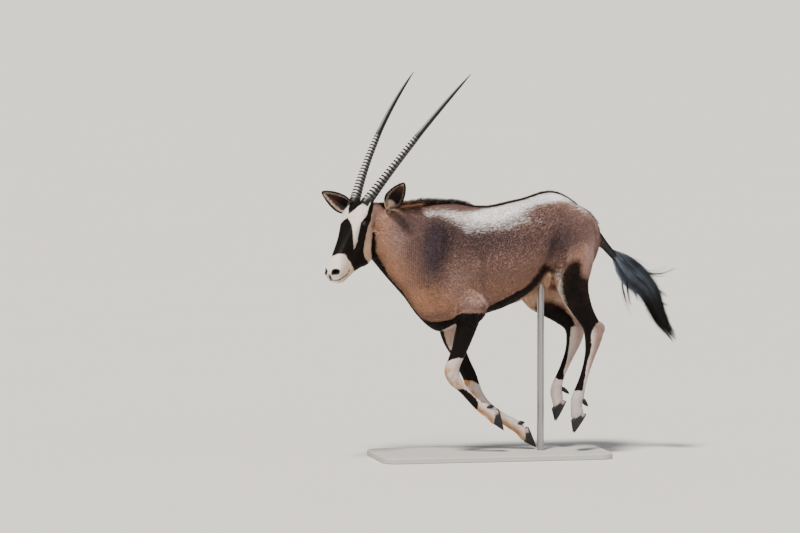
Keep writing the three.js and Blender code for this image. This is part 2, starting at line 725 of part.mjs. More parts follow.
// An ear: a cupped leaf with an open front, on a round root. With grow it is only the root,
// widened for the socket.
function earSolid(place, grow = 0) {
  const root = headPoint(place.along, place.out, place.side);
  const turned = (parts) => hf.left.clone().multiplyScalar(parts[0]).addScaledVector(hf.up, parts[1])
    .addScaledVector(hf.heading, parts[2]).normalize();
  const aim = turned(place.aim);
  const face = turned(place.face);
  face.addScaledVector(aim, -face.dot(aim)).normalize();
  const wide = new THREE.Vector3().crossVectors(aim, face);
  const rings = [];
  if (grow > 0) {
    [-1.5, 1.6].forEach((t) => {
      const centre = root.clone().addScaledVector(aim, ear.sink * t - (t < 0 ? grow : 0));
      rings.push(ovalRing(centre, wide, face, ear.root + grow, ear.root + grow, ear.root + grow,
        ear.rootSides, 2, 2));
    });
    return loftOf(rings);
  }
  [-1.5, 1.9].forEach((t) => {
    const centre = root.clone().addScaledVector(aim, ear.sink * t);
    rings.push(ovalRing(centre, wide, face, ear.root, ear.root, ear.root, ear.rootSides, 2, 2));
  });
  const stub = loftOf(rings);
  const shares = [0.12, 0.2, 0.3, 0.42, 0.56, 0.7, 0.82, 0.92, 1];
  const leaf = shares.map((t) => {
    const width = earHalfWidth(t);
    const cup = THREE.MathUtils.degToRad(118 - 62 * t);
    const radius = width / Math.sin(Math.min(cup, Math.PI / 2));
    const centre = root.clone().addScaledVector(aim, ear.length * t);
    centre.addScaledVector(face, radius * 0.5 - 6 * t);
    const ring = [];
    for (let i = 0; i <= ear.points; i += 1) {
      const angle = -cup + (2 * cup * i) / ear.points;
      ring.push(centre.clone().addScaledVector(wide, radius * Math.sin(angle))
        .addScaledVector(face, -radius * Math.cos(angle)));
    }
    const inner = Math.max(radius - ear.wall * (1.1 - 0.4 * t), radius * 0.4);
    for (let i = ear.points; i >= 0; i -= 1) {
      const angle = -cup * 0.97 + (2 * cup * 0.97 * i) / ear.points;
      ring.push(centre.clone().addScaledVector(wide, inner * Math.sin(angle))
        .addScaledVector(face, -inner * Math.cos(angle)));
    }
    return ring;
  });
  return join([stub, stripLoft(leaf)]);
}

// A loft over rings that fold back on themselves, closed at its ends by a strip between
// the outgoing and the returning half of the ring.
function stripLoft(rings) {
  const count = rings[0].length;
  const positions = [];
  const index = [];
  rings.forEach((ring) => ring.forEach((p) => positions.push(p.x, p.y, p.z)));
  for (let r = 0; r + 1 < rings.length; r += 1) {
    for (let i = 0; i < count; i += 1) {
      const a = r * count + i;
      const b = r * count + ((i + 1) % count);
      index.push(a, b, b + count, a, b + count, a + count);
    }
  }
  [0, rings.length - 1].forEach((r) => {
    for (let i = 0; i + 1 < count / 2; i += 1) {
      const a = r * count + i;
      const b = a + 1;
      const c = r * count + (count - 1 - i);
      const d = c - 1;
      const quad = r === 0 ? [a, c, d, a, d, b] : [a, b, d, a, d, c];
      index.push(...quad);
    }
  });
  const geometry = new THREE.BufferGeometry();
  geometry.setAttribute('position', new THREE.Float32BufferAttribute(positions, 3));
  geometry.setIndex(index);
  const solid = solidOf(geometry);
  if (solid.volume() > 0) {
    return solid;
  }
  geometry.setIndex(index.map((v, i) => index[i - (i % 3) + 2 - (i % 3)]));
  return solidOf(geometry);
}

// Repeatable draws between -1 and 1.
function drawsFrom(seed) {
  let state = seed;
  return () => {
    state = (state * 1664525 + 1013904223) % 4294967296;
    return (state / 2147483648) - 1;
  };
}

// One flat tapered lock along points, its width turned towards the given side direction. It
// widens from a share of its width at the root to the full width and tapers to the tip.
function lockSolid(points, sideWish, width, thickness, rootShare = 0.75) {
  const last = points.length - 1;
  const rings = points.map((p, i) => {
    const along = points[Math.min(i + 1, last)].clone().sub(points[Math.max(i - 1, 0)]).normalize();
    const side = sideWish.clone().addScaledVector(along, -sideWish.dot(along)).normalize();
    const flat = new THREE.Vector3().crossVectors(along, side);
    const share = i / last;
    const swell = rootShare + (1 - rootShare) * Math.min(share / 0.4, 1);
    const half = (width / 2) * (1 - share ** 1.9) * swell * 1.1 + 0.9;
    const deep = (thickness / 2) * (1 - share ** 1.6) + 0.5;
    return [
      p.clone().addScaledVector(side, half),
      p.clone().addScaledVector(flat, deep),
      p.clone().addScaledVector(side, -half),
      p.clone().addScaledVector(flat, -deep),
    ];
  });
  return loftOf(rings);
}

// The crest of the neck and withers at a given x: the top of the trunk's loft there.
function crestAt(x) {
  const rows = smoothRows(trunkRows, 4);
  for (let i = 0; i + 1 < rows.length; i += 1) {
    if (rows[i][0] >= x && rows[i + 1][0] < x) {
      const t = (rows[i][0] - x) / (rows[i][0] - rows[i + 1][0]);
      return new THREE.Vector3(x, -(rows[i][6] + (rows[i + 1][6] - rows[i][6]) * t),
        rows[i][1] + (rows[i + 1][1] - rows[i][1]) * t);
    }
  }
  return new THREE.Vector3(x, 0, rows[0][1]);
}

// Mane locks: two to a row, rising from the crest and curving back over it.
function maneSolids() {
  const draw = drawsFrom(11);
  const locks = [];
  for (let i = 0; i < mane.rows; i += 1) {
    const share = i / (mane.rows - 1);
    const x = mane.from + (mane.to - mane.from) * share;
    const size = 0.62 + 0.38 * Math.sin(Math.PI * Math.min(share * 1.15 + 0.1, 1));
    [-1, 1].forEach((side) => {
      const root = crestAt(x + draw() * 5);
      root.y += side * 7;
      root.z -= 9;
      const lean = side * (0.16 + 0.12 * draw());
      const points = [0, 0.34, 0.68, 1].map((t) => {
        const reach = mane.length * size * (1 + 0.12 * draw() * t);
        return new THREE.Vector3(root.x + reach * (0.42 * t + 0.3 * t * t), root.y + reach * lean * t,
          root.z + reach * (1.05 * t - 0.33 * t * t));
      });
      locks.push(lockSolid(points, new THREE.Vector3(0.3, side, 0), mane.width * size, mane.thickness));
    });
  }
  return locks;
}

// How far the tassel spreads at a share of its length.
function spreadAt(u) {
  const next = Math.max(tasselSpread.findIndex((entry) => entry[0] >= u), 1);
  const [u0, s0] = tasselSpread[next - 1];
  const [u1, s1] = tasselSpread[next];
  return s0 + ((s1 - s0) * (u - u0)) / (u1 - u0);
}

// Tassel: locks that leave the tail shaft, open out along its line and close to a point,
// and a few loose wisps.
function tasselSolid() {
  const curve = new THREE.CatmullRomCurve3(tassel.path.map(([x, z]) => new THREE.Vector3(x, 0, z)));
  const core = tubeSolid(shaftRows, shaft.steps, shaft.sides);
  const draw = drawsFrom(23);
  const sideways = new THREE.Vector3(0, 1, 0);
  const placeAt = (u, deep, wide) => {
    const down = new THREE.Vector3().crossVectors(sideways, curve.getTangentAt(u)).normalize();
    return curve.getPointAt(u).addScaledVector(down, deep).addScaledVector(sideways, wide);
  };
  const filling = [0.05, 0.15, 0.28, 0.42, 0.56, 0.7, tassel.coreEnd].map((u) => {
    const along = curve.getTangentAt(u);
    const depth = new THREE.Vector3().crossVectors(along, sideways);
    const half = u === tassel.coreEnd ? 3 : spreadAt(u) * tassel.coreShare;
    return ovalRing(curve.getPointAt(u), sideways, depth, half * tassel.flatness, half, half, 8, 2, 2);
  });
  const locks = [core, loftOf(filling)];
  tassel.rings.forEach((ring) => {
    for (let i = 0; i < ring.locks; i += 1) {
      const turn = (2 * Math.PI * (i + 0.25)) / ring.locks;
      const start = ring.start + 0.05 * ((i * 0.618) % 1);
      const finish = ring.finish + (1 - ring.finish) * ((i * 0.618 + 0.3) % 1);
      const points = tassel.shares.map((t) => {
        const u = start + (finish - start) * t;
        const open = 0.14 + 0.86 * Math.sin((Math.PI / 2) * Math.min(t / 0.3, 1));
        const spread = (spreadAt(u) - tassel.thickness / 2) * open * ring.reach;
        return placeAt(u, Math.cos(turn) * spread + 2 * draw() * t,
          Math.sin(turn) * spread * tassel.flatness + 2 * draw() * t);
      });
      const faceOut = new THREE.Vector3(-Math.sin(turn) * 0.5, Math.cos(turn), Math.sin(turn) * 0.5);
      locks.push(lockSolid(points, faceOut, ring.width * (0.9 + 0.1 * draw()), tassel.thickness, 0.45));
    }
  });
  const loose = wisps.map((wisp) => {
    const edge = wisp.edge * spreadAt(wisp.from);
    const points = [placeAt(wisp.from - 0.06, edge * 0.3, wisp.across * 0.5)];
    const point = placeAt(wisp.from, edge * 0.8, wisp.across);
    for (let k = 0; k <= 3; k += 1) {
      points.push(point.clone());
      const angle = THREE.MathUtils.degToRad(wisp.start + ((wisp.end - wisp.start) * k) / 2);
      const step = new THREE.Vector3(Math.cos(angle), 0, -Math.sin(angle));
      point.addScaledVector(step, wisp.length / 3);
    }
    return lockSolid(points, sideways, 11, 7);
  });
  const hair = join([join(locks).simplify(fineness.tassel), ...loose]);
  return keepSide(hair, new THREE.Vector3(...shaft.dockCut), new THREE.Vector3(0.7, 0, -0.71));
}

// The stand's base: a slab with round corners and a small bevel.
function baseSolid() {
  const outline = new THREE.Shape();
  const w = base.length / 2 - base.bevel;
  const d = base.width / 2 - base.bevel;
  const r = base.corner;
  outline.moveTo(-w + r, -d);
  outline.lineTo(w - r, -d);
  outline.absarc(w - r, -d + r, r, -Math.PI / 2, 0, false);
  outline.lineTo(w, d - r);
  outline.absarc(w - r, d - r, r, 0, Math.PI / 2, false);
  outline.lineTo(-w + r, d);
  outline.absarc(-w + r, d - r, r, Math.PI / 2, Math.PI, false);
  outline.lineTo(-w, -d + r);
  outline.absarc(-w + r, -d + r, r, Math.PI, 1.5 * Math.PI, false);
  const slab = new THREE.ExtrudeGeometry(outline, {
    depth: base.height - 2 * base.bevel, bevelEnabled: true, bevelThickness: base.bevel,
    bevelSize: base.bevel, bevelSegments: 1, curveSegments: 3,
  });
  slab.translate(0, 0, base.bevel);
  return solidOf(slab);
}

// The stand's rod, from the base to a socket in the belly.
function rodSolid(topZ, grow = 0) {
  const height = topZ - base.height - gap + grow;
  const pole = new THREE.CylinderGeometry(rod.radius + grow, rod.radius + grow, height, rod.sides);
  pole.rotateX(Math.PI / 2);
  pole.translate(rod.x, 0, base.height + gap + height / 2);
  return solidOf(pole);
}

// The height of the belly on the middle line above a given x.
function bellyAt(x) {
  const rows = smoothRows(trunkRows, 4);
  const near = rows.reduce((best, r) => (Math.abs(r[2] - x) < Math.abs(best[2] - x) ? r : best));
  return near[3];
}

const model = new THREE.Group();

// Adds one named mesh with its own material to the model.
function addMesh(name, solid, colour, roughness = 0.9, metalness = 0) {
  const material = new THREE.MeshStandardMaterial({ color: colour, roughness, metalness });
  const mesh = new THREE.Mesh(geometryOf(solid), material);
  mesh.name = name;
  model.add(mesh);
}

const rodTop = bellyAt(rod.x) + rod.sink;
addMesh('stand_base', baseSolid().simplify(fineness.stand), colours.stand, 0.8);
addMesh('stand_rod', rodSolid(rodTop), colours.rod, 0.35, 0.9);

// Flesh: trunk, neck, muscles, head and the tops of the legs are joined, then parted by thin cuts.
const legSets = legs.map(legPieces);
const tailRoot = new THREE.Vector3(531, 0, 961);
const tailAim = new THREE.Vector3(0.7, 0, -0.71);
const dock = keepSide(tubeSolid(shaftRows, shaft.steps, shaft.sides), new THREE.Vector3(...shaft.dockCut),
  tailAim.clone().negate());
const [dockPiece, dockRoot] = splitAt(dock, tailRoot, tailAim);
const flesh = [trunkSolid(), headSolid(), dockRoot, ...legSets.map((set) => set.top)];
muscles.forEach((m) => {
  [-1, 1].forEach((mirror) => flesh.push(blobSolid(m.at, m.radii, m.lean, mirror)));
});
flesh.push(...lowForms.map((m) => blobSolid(m.at, m.radii, m.lean, 1)));
flesh.push(...maneSolids());
let body = join(flesh).simplify(fineness.flesh);
[-1, 1].forEach((side) => {
  body = body.subtract(hornSolid(side, gap));
  body = body.subtract(earSolid(side > 0 ? earPlaces.left : earPlaces.right, gap));
  body = body.subtract(headBlob(eye.along, eye.out, side * eye.side,
    [eye.radius + gap, eye.radius + gap, eye.radius + gap], 12, 8));
  body = body.subtract(slitSolid(side));
  body = body.subtract(headBlob(nostril.along, nostril.out, side * nostril.side, nostril.radii, 8, 6));
});
body = body.subtract(mouthSolid());
body = body.subtract(rodSolid(rodTop, gap));

const throat = new THREE.Vector3(-538, -40, 1010);
const throatAim = new THREE.Vector3(-0.86, -0.3, 0.36);
const neckFoot = new THREE.Vector3(-258, 0, 870);
const neckAim = new THREE.Vector3(-1, 0, 0.16);
const loin = new THREE.Vector3(196, 0, 900);
const backwards = new THREE.Vector3(1, 0, 0);

const [headPiece, behindHead] = splitAt(body, throat, throatAim);
const [neckPiece, behindNeck] = splitAt(behindHead, neckFoot, neckAim);
const [rumpPiece, torsoPiece] = splitAt(behindNeck, loin, backwards);

addMesh('head', largest(headPiece), colours.white);
addMesh('neck', largest(neckPiece), colours.coat);
addMesh('torso', largest(torsoPiece), colours.coat);
addMesh('hindquarters', largest(rumpPiece), colours.coat);
addMesh('tail', largest(dockPiece), colours.dark);
addMesh('tail_tassel', largest(tasselSolid()), colours.dark);
[['left', 1], ['right', -1]].forEach(([name, side]) => {
  const ball = headBlob(eye.along, eye.out, side * eye.side, [eye.radius, eye.radius, eye.radius], 12, 8);
  addMesh(`horn_${name}`, hornSolid(side), colours.horn, 0.5);
  addMesh(`ear_${name}`, largest(earSolid(earPlaces[name])), colours.white);
  addMesh(`eye_${name}`, ball, colours.eye, 0.1);
});
legs.forEach((leg, i) => {
  const set = legSets[i];
  addMesh(`${leg.name}_${leg.upper}`, set.upper, colours.dark);
  addMesh(`${leg.name}_cannon`, set.cannon, colours.white);
  addMesh(`${leg.name}_pastern`, set.pastern, colours.white);
  addMesh(`${leg.name}_claw_inner`, set.claws[leg.rows[0][1] > 0 ? 0 : 1], colours.hoof, 0.6);
  addMesh(`${leg.name}_claw_outer`, set.claws[leg.rows[0][1] > 0 ? 1 : 0], colours.hoof, 0.6);
});

export default model;
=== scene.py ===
import bmesh
import bpy
import numpy as np
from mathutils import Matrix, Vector


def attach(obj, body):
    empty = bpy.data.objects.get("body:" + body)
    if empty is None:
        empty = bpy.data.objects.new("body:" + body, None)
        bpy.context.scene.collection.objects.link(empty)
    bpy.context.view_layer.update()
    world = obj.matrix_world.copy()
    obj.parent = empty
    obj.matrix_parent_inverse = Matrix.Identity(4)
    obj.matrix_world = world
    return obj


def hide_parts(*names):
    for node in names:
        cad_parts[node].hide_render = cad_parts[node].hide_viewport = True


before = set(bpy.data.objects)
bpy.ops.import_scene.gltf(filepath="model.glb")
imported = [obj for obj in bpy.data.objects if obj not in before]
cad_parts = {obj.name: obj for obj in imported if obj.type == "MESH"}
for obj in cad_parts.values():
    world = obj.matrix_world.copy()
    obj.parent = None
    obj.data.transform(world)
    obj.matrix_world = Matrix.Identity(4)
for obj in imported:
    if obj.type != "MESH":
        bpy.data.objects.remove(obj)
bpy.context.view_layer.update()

mm = 0.001
print("frame loaded:", len(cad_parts), "nodes")


# length-one copies of the vectors in an array: v / |v|
def unit(v):
    v = np.asarray(v, float)
    return v / np.maximum(np.linalg.norm(v, axis=-1, keepdims=True), 1e-12)


# soft step: 0 below low, 1 above high, 3t^2 - 2t^3 between
def ease(low, high, value):
    t = np.clip((value - low) / (high - low), 0, 1)
    return t * t * (3 - 2 * t)


# bell round zero: exp(-(d / width)^2)
def bell(d, width):
    return np.exp(-(d / width) ** 2)


# signed power of a sine or cosine that squares an oval: sign(v) |v|^(2/p)
def bend(v, p):
    return np.sign(v) * np.abs(v) ** (2 / p)


# one turn in equal steps: 2 pi k / count
def turnSteps(count):
    return 2 * np.pi * np.arange(count) / count


# one value, or a row of them, as a column
def column(v):
    return np.reshape(v, (-1, 1))


# rows of a table made denser along a Catmull-Rom curve, steps to a row
def smoothRows(rows, steps):
    p = np.array(rows, float)
    q = np.vstack([p[:1], p, p[-1:]])
    t = (np.arange(steps) / steps)[None, :, None]
    p0, p1, p2, p3 = (q[i:i + len(p) - 1, None, :] for i in range(4))
    curve = 2 * p1 + (p2 - p0) * t + (2 * p0 - 5 * p1 + 4 * p2 - p3) * t ** 2
    curve = 0.5 * (curve + (3 * p1 - p0 - 3 * p2 + p3) * t ** 3)
    return np.vstack([curve.reshape(-1, p.shape[1]), p[-1:]])


# oval rings: centre + side * across * bend(cos) + up * (rise or fall) * bend(sin)
def ovalRings(centre, side, up, across, rise, fall, count, topPower=2.1, lowPower=2.1):
    angle = turnSteps(count)
    c = np.cos(angle)[None, :]
    s = np.sin(angle)[None, :]
    power = np.where(s >= 0, column(topPower), column(lowPower))
    reach = np.where(s >= 0, column(rise), column(fall))
    wide = (column(across) * bend(c, power))[..., None] * side[:, None, :]
    tall = (reach * bend(s, power))[..., None] * up[:, None, :]
    return centre[:, None, :] + wide + tall


# quads between neighbours on a grid of rows and columns that is closed round the columns
def gridFaces(rows, cols):
    r = np.arange(rows - 1)[:, None]
    c = np.arange(cols)[None, :]
    d = (c + 1) % cols
    quads = np.stack([r * cols + c, r * cols + d, (r + 1) * cols + d, (r + 1) * cols + c], -1)
    return quads.reshape(-1, 4)


# each quad as two triangles
def split(quads):
    return np.vstack([quads[:, [0, 1, 2]], quads[:, [0, 2, 3]]])


# triangles turned so that the closed shell has a positive volume: sum of a . (b x c)
def facedOut(points, faces):
    a, b, c = (points[faces[:, k]] for k in range(3))
    return faces[:, ::-1] if np.sum(a * np.cross(b, c)) < 0 else faces


# a closed skin over rings: quads along, and a fan of thin triangles to each end's middle
def loft(rings):
    rows, cols = rings.shape[:2]
    caps = [rings[0].mean(0)[None], rings[-1].mean(0)[None]]
    points = np.vstack([rings.reshape(-1, 3)] + caps)
    here = np.arange(cols)
    after = (here + 1) % cols
    last = (rows - 1) * cols
    low = np.stack([np.full(cols, rows * cols), after, here], 1)
    high = np.stack([np.full(cols, rows * cols + 1), last + here, last + after], 1)
    return points, facedOut(points, np.vstack([split(gridFaces(rows, cols)), low, high]))


# a value for each point of a loft: those of the rings, then one for each end's middle
def withEnds(grid, shape, low, high):
    return np.concatenate([np.broadcast_to(grid, shape).ravel(), [low, high]])


# several shells as one set of points and faces
def joined(shells):
    starts = np.cumsum([0] + [len(p) for p, f in shells[:-1]])
    return np.vstack([p for p, f in shells]), np.vstack([f + n for (p, f), n in zip(shells, starts)])


# a mesh from whole arrays, smooth shaded
def makeMesh(name, points, faces):
    mesh = bpy.data.meshes.new(name)
    size = faces.shape[1]
    mesh.vertices.add(len(points))
    mesh.vertices.foreach_set("co", np.asarray(points, np.float32).ravel())
    mesh.loops.add(faces.size)
    mesh.loops.foreach_set("vertex_index", np.asarray(faces, np.int32).ravel())
    mesh.polygons.add(len(faces))
    mesh.polygons.foreach_set("loop_start", np.arange(0, faces.size, size, dtype=np.int32))
    mesh.polygons.foreach_set("use_smooth", np.ones(len(faces), bool))
    mesh.update(calc_edges=True)
    return mesh


# a value for each point, read by the materials
def giveValues(mesh, values):
    for name, value in values.items():
        mesh.attributes.new(name, "FLOAT", "POINT")
        mesh.attributes[name].data.foreach_set("value", np.asarray(value, np.float32).ravel())


# a finished piece: its object at the origin, its place in its mesh
def addPiece(name, mesh, material, nodes=()):
    piece = bpy.data.objects.new(name, mesh)
    bpy.context.scene.collection.objects.link(piece)
    mesh.materials.append(material)
    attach(piece, "root")
    if nodes:
        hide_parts(*nodes)


# one property of a mesh's points, edges or faces, a row for each
def readRows(items, key, width, kind=np.float32):
    flat = np.empty(len(items) * width, kind)
    items.foreach_get(key, flat)
    return flat.reshape(-1, width)


# points, normals and edges of a mesh as arrays
def meshArrays(mesh):
    points = readRows(mesh.vertices, "co", 3).astype(float)
    normals = readRows(mesh.vertices, "normal", 3).astype(float)
    return points, normals, readRows(mesh.edges, "vertices", 2, np.int32)


# moves the points of a mesh to new places
def movePoints(mesh, points):
    mesh.vertices.foreach_set("co", points.astype(np.float32).ravel())
    mesh.update()


# moves each point a share of the way to the mean of its neighbours, then back by another share
def relax(points, edges, rounds, mask=1.0, share=0.5, back=-0.52):
    count = np.bincount(edges.ravel(), minlength=len(points))[:, None]
    for step in range(rounds * 2):
        total = np.zeros_like(points)
        for k in range(3):
            total[:, k] = np.bincount(edges[:, 0], points[edges[:, 1], k], len(points))
            total[:, k] += np.bincount(edges[:, 1], points[edges[:, 0], k], len(points))
        middle = total / np.maximum(count, 1)
        points = points + (share if step % 2 == 0 else back) * column(mask) * (middle - points)
    return points


# distance in a plane from points to the nearest of the pieces that run from p to q
def pieceGap(p, q, x, y):
    run = q - p
    px = x[:, None] - p[:, 0]
    py = y[:, None] - p[:, 1]
    t = np.clip((px * run[:, 0] + py * run[:, 1]) / (run ** 2).sum(1), 0, 1)
    return np.sqrt((px - t * run[:, 0]) ** 2 + (py - t * run[:, 1]) ** 2).min(1)


# distance in a plane from points to an open line, in metres
def lineGap(line, x, y, cell=mm):
    p = np.array(line, float) * cell
    return pieceGap(p[:-1], p[1:], x, y)


# signed distance to a closed outline in a plane, positive inside
def inside(outline, x, y, cell=mm):
    p = np.array(outline, float) * cell
    q = np.roll(p, -1, axis=0)
    run = q - p
    slope = np.where(np.abs(run[:, 1]) < 1e-9, 1e-9, run[:, 1])
    at = run[:, 0] * (y[:, None] - p[:, 1]) / slope + p[:, 0]
    crosses = (p[:, 1] > y[:, None]) != (q[:, 1] > y[:, None])
    odd = (crosses & (x[:, None] < at)).sum(1) % 2 == 1
    return pieceGap(p, q, x, y) * np.where(odd, 1, -1)


# one socket of a node tree; sums and products of it add Math nodes
class Wire:
    def __init__(self, tree, socket):
        self.tree = tree
        self.socket = socket

    # a Math node over the values and wires in their order
    def math(self, operation, *values):
        node = self.tree.nodes.new("ShaderNodeMath")
        node.operation = operation
        for place, value in enumerate(values):
            if isinstance(value, Wire):
                self.tree.links.new(value.socket, node.inputs[place])
            else:
                node.inputs[place].default_value = value
        return Wire(self.tree, node.outputs[0])

    def __add__(self, other):
        return self.math("ADD", self, other)

    def __radd__(self, other):
        return self.math("ADD", self, other)

    def __sub__(self, other):
        return self.math("SUBTRACT", self, other)

    def __rsub__(self, other):
        return self.math("SUBTRACT", other, self)

    def __mul__(self, other):
        return self.math("MULTIPLY", self, other)

    def __truediv__(self, other):
        return self.math("DIVIDE", self, other)

    def atLeast(self, other):
        return self.math("MAXIMUM", self, other)

    def atMost(self, other):
        return self.math("MINIMUM", self, other)


# a material's node tree, with its surface shader and short ways to add nodes
class Paint:
    def __init__(self, name, **fixed):
        self.material = bpy.data.materials.new(name)
        self.material.use_nodes = True
        self.tree = self.material.node_tree
        self.shader = self.tree.nodes["Principled BSDF"]
        for socket, value in fixed.items():
            self.shader.inputs[socket.replace("_", " ")].default_value = value

    # any node: its type, its settings, then the values or links of its inputs
    def add(self, kind, settings, inputs, out=0):
        node = self.tree.nodes.new("ShaderNode" + kind)
        for key, value in settings.items():
            setattr(node, key, value)
        for key, value in inputs.items():
            if isinstance(value, Wire):
                self.tree.links.new(value.socket, node.inputs[key])
            else:
                node.inputs[key].default_value = value
        return Wire(self.tree, node.outputs[out])

    # a value that the mesh carries at its points
    def value(self, name):
        return self.add("Attribute", {"attribute_name": name}, {}, "Fac")

    # the place on the object
    def place(self):
        return self.add("TexCoord", {}, {}, "Object")

    # noise on object coordinates, stretched by the three factors
    def noise(self, scale, stretch=(1, 1, 1), detail=2.0, rough=0.5):
        spot = self.add("Mapping", {}, {"Vector": self.place(), "Scale": stretch})
        inputs = {"Vector": spot, "Scale": scale, "Detail": detail, "Roughness": rough}
        return self.add("TexNoise", {}, inputs)

    # waves along the x of a vector, bent by noise
    def bands(self, vector, scale, distortion, fine=1.0, out=0):
        settings = {"wave_type": "BANDS", "bands_direction": "X"}
        inputs = {"Vector": vector, "Scale": scale, "Distortion": distortion, "Detail": 2.0,
                  "Detail Scale": fine}
        return self.add("TexWave", settings, inputs, out)

    # soft step of a value between two limits
    def step(self, value, low, high):
        limits = {"Value": value, "From Min": low, "From Max": high}
        return self.add("MapRange", {"interpolation_type": "SMOOTHSTEP"}, limits)

    # one colour laid over another by a mask; a colour is three numbers or a wire
    def blend(self, mask, under, over, mode="MIX"):
        under, over = (c if isinstance(c, Wire) else c + (1,) for c in (under, over))
        return self.add("Mix", {"data_type": "RGBA", "blend_type": mode}, {0: mask, 6: under, 7: over}, 2)

    # a colour times a value
    def darkened(self, colour, value):
        grey = self.add("CombineColor", {}, {0: value, 1: value, 2: value})
        return self.blend(1.0, colour, grey, "MULTIPLY")

    # a normal tilted by the slope of a height
    def bump(self, height, strength, distance):
        return self.add("Bump", {}, {"Height": height, "Strength": strength, "Distance": distance})

    # wires into the surface shader; gives the finished material
    def feed(self, **links):
        for socket, wire in links.items():
            self.tree.links.new(wire.socket, self.shader.inputs[socket.replace("_", " ")])
        return self.material


view = {
    "target": (-0.414, 0.0, 0.870), "towards": (-0.2073, -0.9751, 0.0785),
    "distance": 30.0, "lens": 300.0, "sensor": 36.0, "farEnd": 400.0,
}


# a long lens far off: camera at target + towards * distance, looking back at the target
def addCamera():
    data = bpy.data.cameras.new("photoCamera")
    data.lens = view["lens"]
    data.sensor_width = view["sensor"]
    data.clip_end = view["farEnd"]
    camera = bpy.data.objects.new("photoCamera", data)
    bpy.context.scene.collection.objects.link(camera)
    away = Vector(view["towards"]).normalized()
    camera.location = Vector(view["target"]) + away * view["distance"]
    camera.rotation_euler = away.to_track_quat("Z", "Y").to_euler()
    bpy.context.scene.camera = camera


studio = {
    "sky": (0.86, 0.89, 0.95), "skyStrength": 0.40,
    "sunColour": (1.0, 0.95, 0.87), "fillColour": (0.90, 0.94, 1.0),
    "sun": (-0.30, -0.44, 1.05), "sunStrength": 6.6, "sunSpread": 0.20,
    "fill": (0.55, -0.90, 0.25), "fillStrength": 0.45, "fillSpread": 0.9,
    "floorSize": 200.0, "floorDrop": 0.0005, "floorTone": (0.66, 0.64, 0.61),
    "floorPatch": (0.5, 0.48, 0.46), "floorRough": 0.85,
}


# an even sky, a high soft sun and a weak wide fill light from the right
def addLight():
    world = bpy.data.worlds.new("studioSky")
    world.use_nodes = True
    ground = world.node_tree.nodes["Background"]
    ground.inputs["Color"].default_value = studio["sky"] + (1.0,)
    ground.inputs["Strength"].default_value = studio["skyStrength"]
    bpy.context.scene.world = world
    for name in ("sun", "fill"):
        data = bpy.data.lights.new(name + "Light", "SUN")
        data.energy = studio[name + "Strength"]
        data.angle = studio[name + "Spread"]
        data.color = studio[name + "Colour"]
        lamp = bpy.data.objects.new(name + "Light", data)
        lamp.rotation_euler = Vector(studio[name]).to_track_quat("Z", "Y").to_euler()
        bpy.context.scene.collection.objects.link(lamp)


# one wide square a little under the stand, with faint patches
def addFloor():
    half, low = studio["floorSize"] / 2, -studio["floorDrop"]
    corners = np.array([[-half, -half, low], [half, -half, low], [half, half, low], [-half, half, low]])
    mesh = makeMesh("floor", corners, np.array([[0, 1, 2, 3]]))
    paint = Paint("floorMaterial", Roughness=studio["floorRough"])
    patches = paint.noise(0.6, detail=3.0) * 0.12
    base = paint.blend(patches, studio["floorTone"], studio["floorPatch"])
    mesh.materials.append(paint.feed(Base_Color=base))
    floor = bpy.data.objects.new("floor", mesh)
    bpy.context.scene.collection.objects.link(floor)


addCamera()
addLight()
addFloor()
print("camera, light and floor done")

# the animal's measures, as in the solids, in millimetres; depth of the coat over the skin
coat = {"trunk": 4.5, "head": 2.0, "legTop": 4.0, "legLow": 2.0, "tail": 3.0}
throatFill = {"depth": 9.0, "from": 0.24, "to": 0.42}

# neck and trunk: top x, z, low x, z, half width, share of the height at the widest, shift left
trunkRows = [
    [506, 1034, 504, 968, 30, 0.5, 0], [490, 1066, 488, 900, 84, 0.55, 0],
    [460, 1100, 456, 845, 124, 0.58, 0], [414, 1129, 410, 815, 152, 0.62, 0],
    [368, 1164, 366, 808, 170, 0.64, 0], [322, 1189, 320, 808, 182, 0.62, 0],
    [276, 1199, 274, 806, 188, 0.58, 0], [230, 1193, 230, 774, 192, 0.54, 0],
    [184, 1179, 184, 731, 197, 0.5, 0], [138, 1166, 138, 704, 203, 0.48, 0],
    [92, 1156, 92, 688, 206, 0.47, 0], [46, 1146, 46, 669, 206, 0.47, 0],
    [0, 1138, 0, 655, 202, 0.47, 0], [-46, 1137, -46, 640, 195, 0.48, 0],
    [-92, 1143, -92, 622, 186, 0.5, 0], [-138, 1152, -140, 601, 177, 0.52, 0],
    [-184, 1156, -188, 580, 168, 0.52, 0], [-226, 1155, -236, 570, 156, 0.5, 0],
    [-262, 1153, -284, 596, 140, 0.48, 0], [-292, 1150, -336, 652, 122, 0.47, 1],
    [-328, 1148, -391, 732, 106, 0.46, 5], [-372, 1146, -444, 792, 94, 0.46, 11],
    [-420, 1145, -492, 846, 84, 0.47, 18], [-480, 1146, -541, 904, 74, 0.5, 28],
    [-536, 1142, -588, 950, 60, 0.5, 37],
]
# ovals joined on: middle, radii, lean in degrees; muscles on both sides
muscles = [
    {"at": [-168, 96, 880], "radii": [112, 84, 250], "lean": 16},
    {"at": [-120, 112, 720], "radii": [80, 62, 110], "lean": -24},
    {"at": [356, 94, 960], "radii": [118, 92, 190], "lean": 6},
]
hockForms = [
    {"at": [490, -93, 585], "radii": [25, 17, 32], "lean": -20},
    {"at": [434, 87, 585], "radii": [25, 17, 32], "lean": -20},
]
groinForm = {"at": [326, 84, 716], "radii": [40, 26, 62], "lean": -28}
lowForms = [
    {"at": [160, 0, 722], "radii": [34, 16, 16], "lean": 33},
    {"at": [262, 0, 790], "radii": [24, 24, 32], "lean": 0},
]
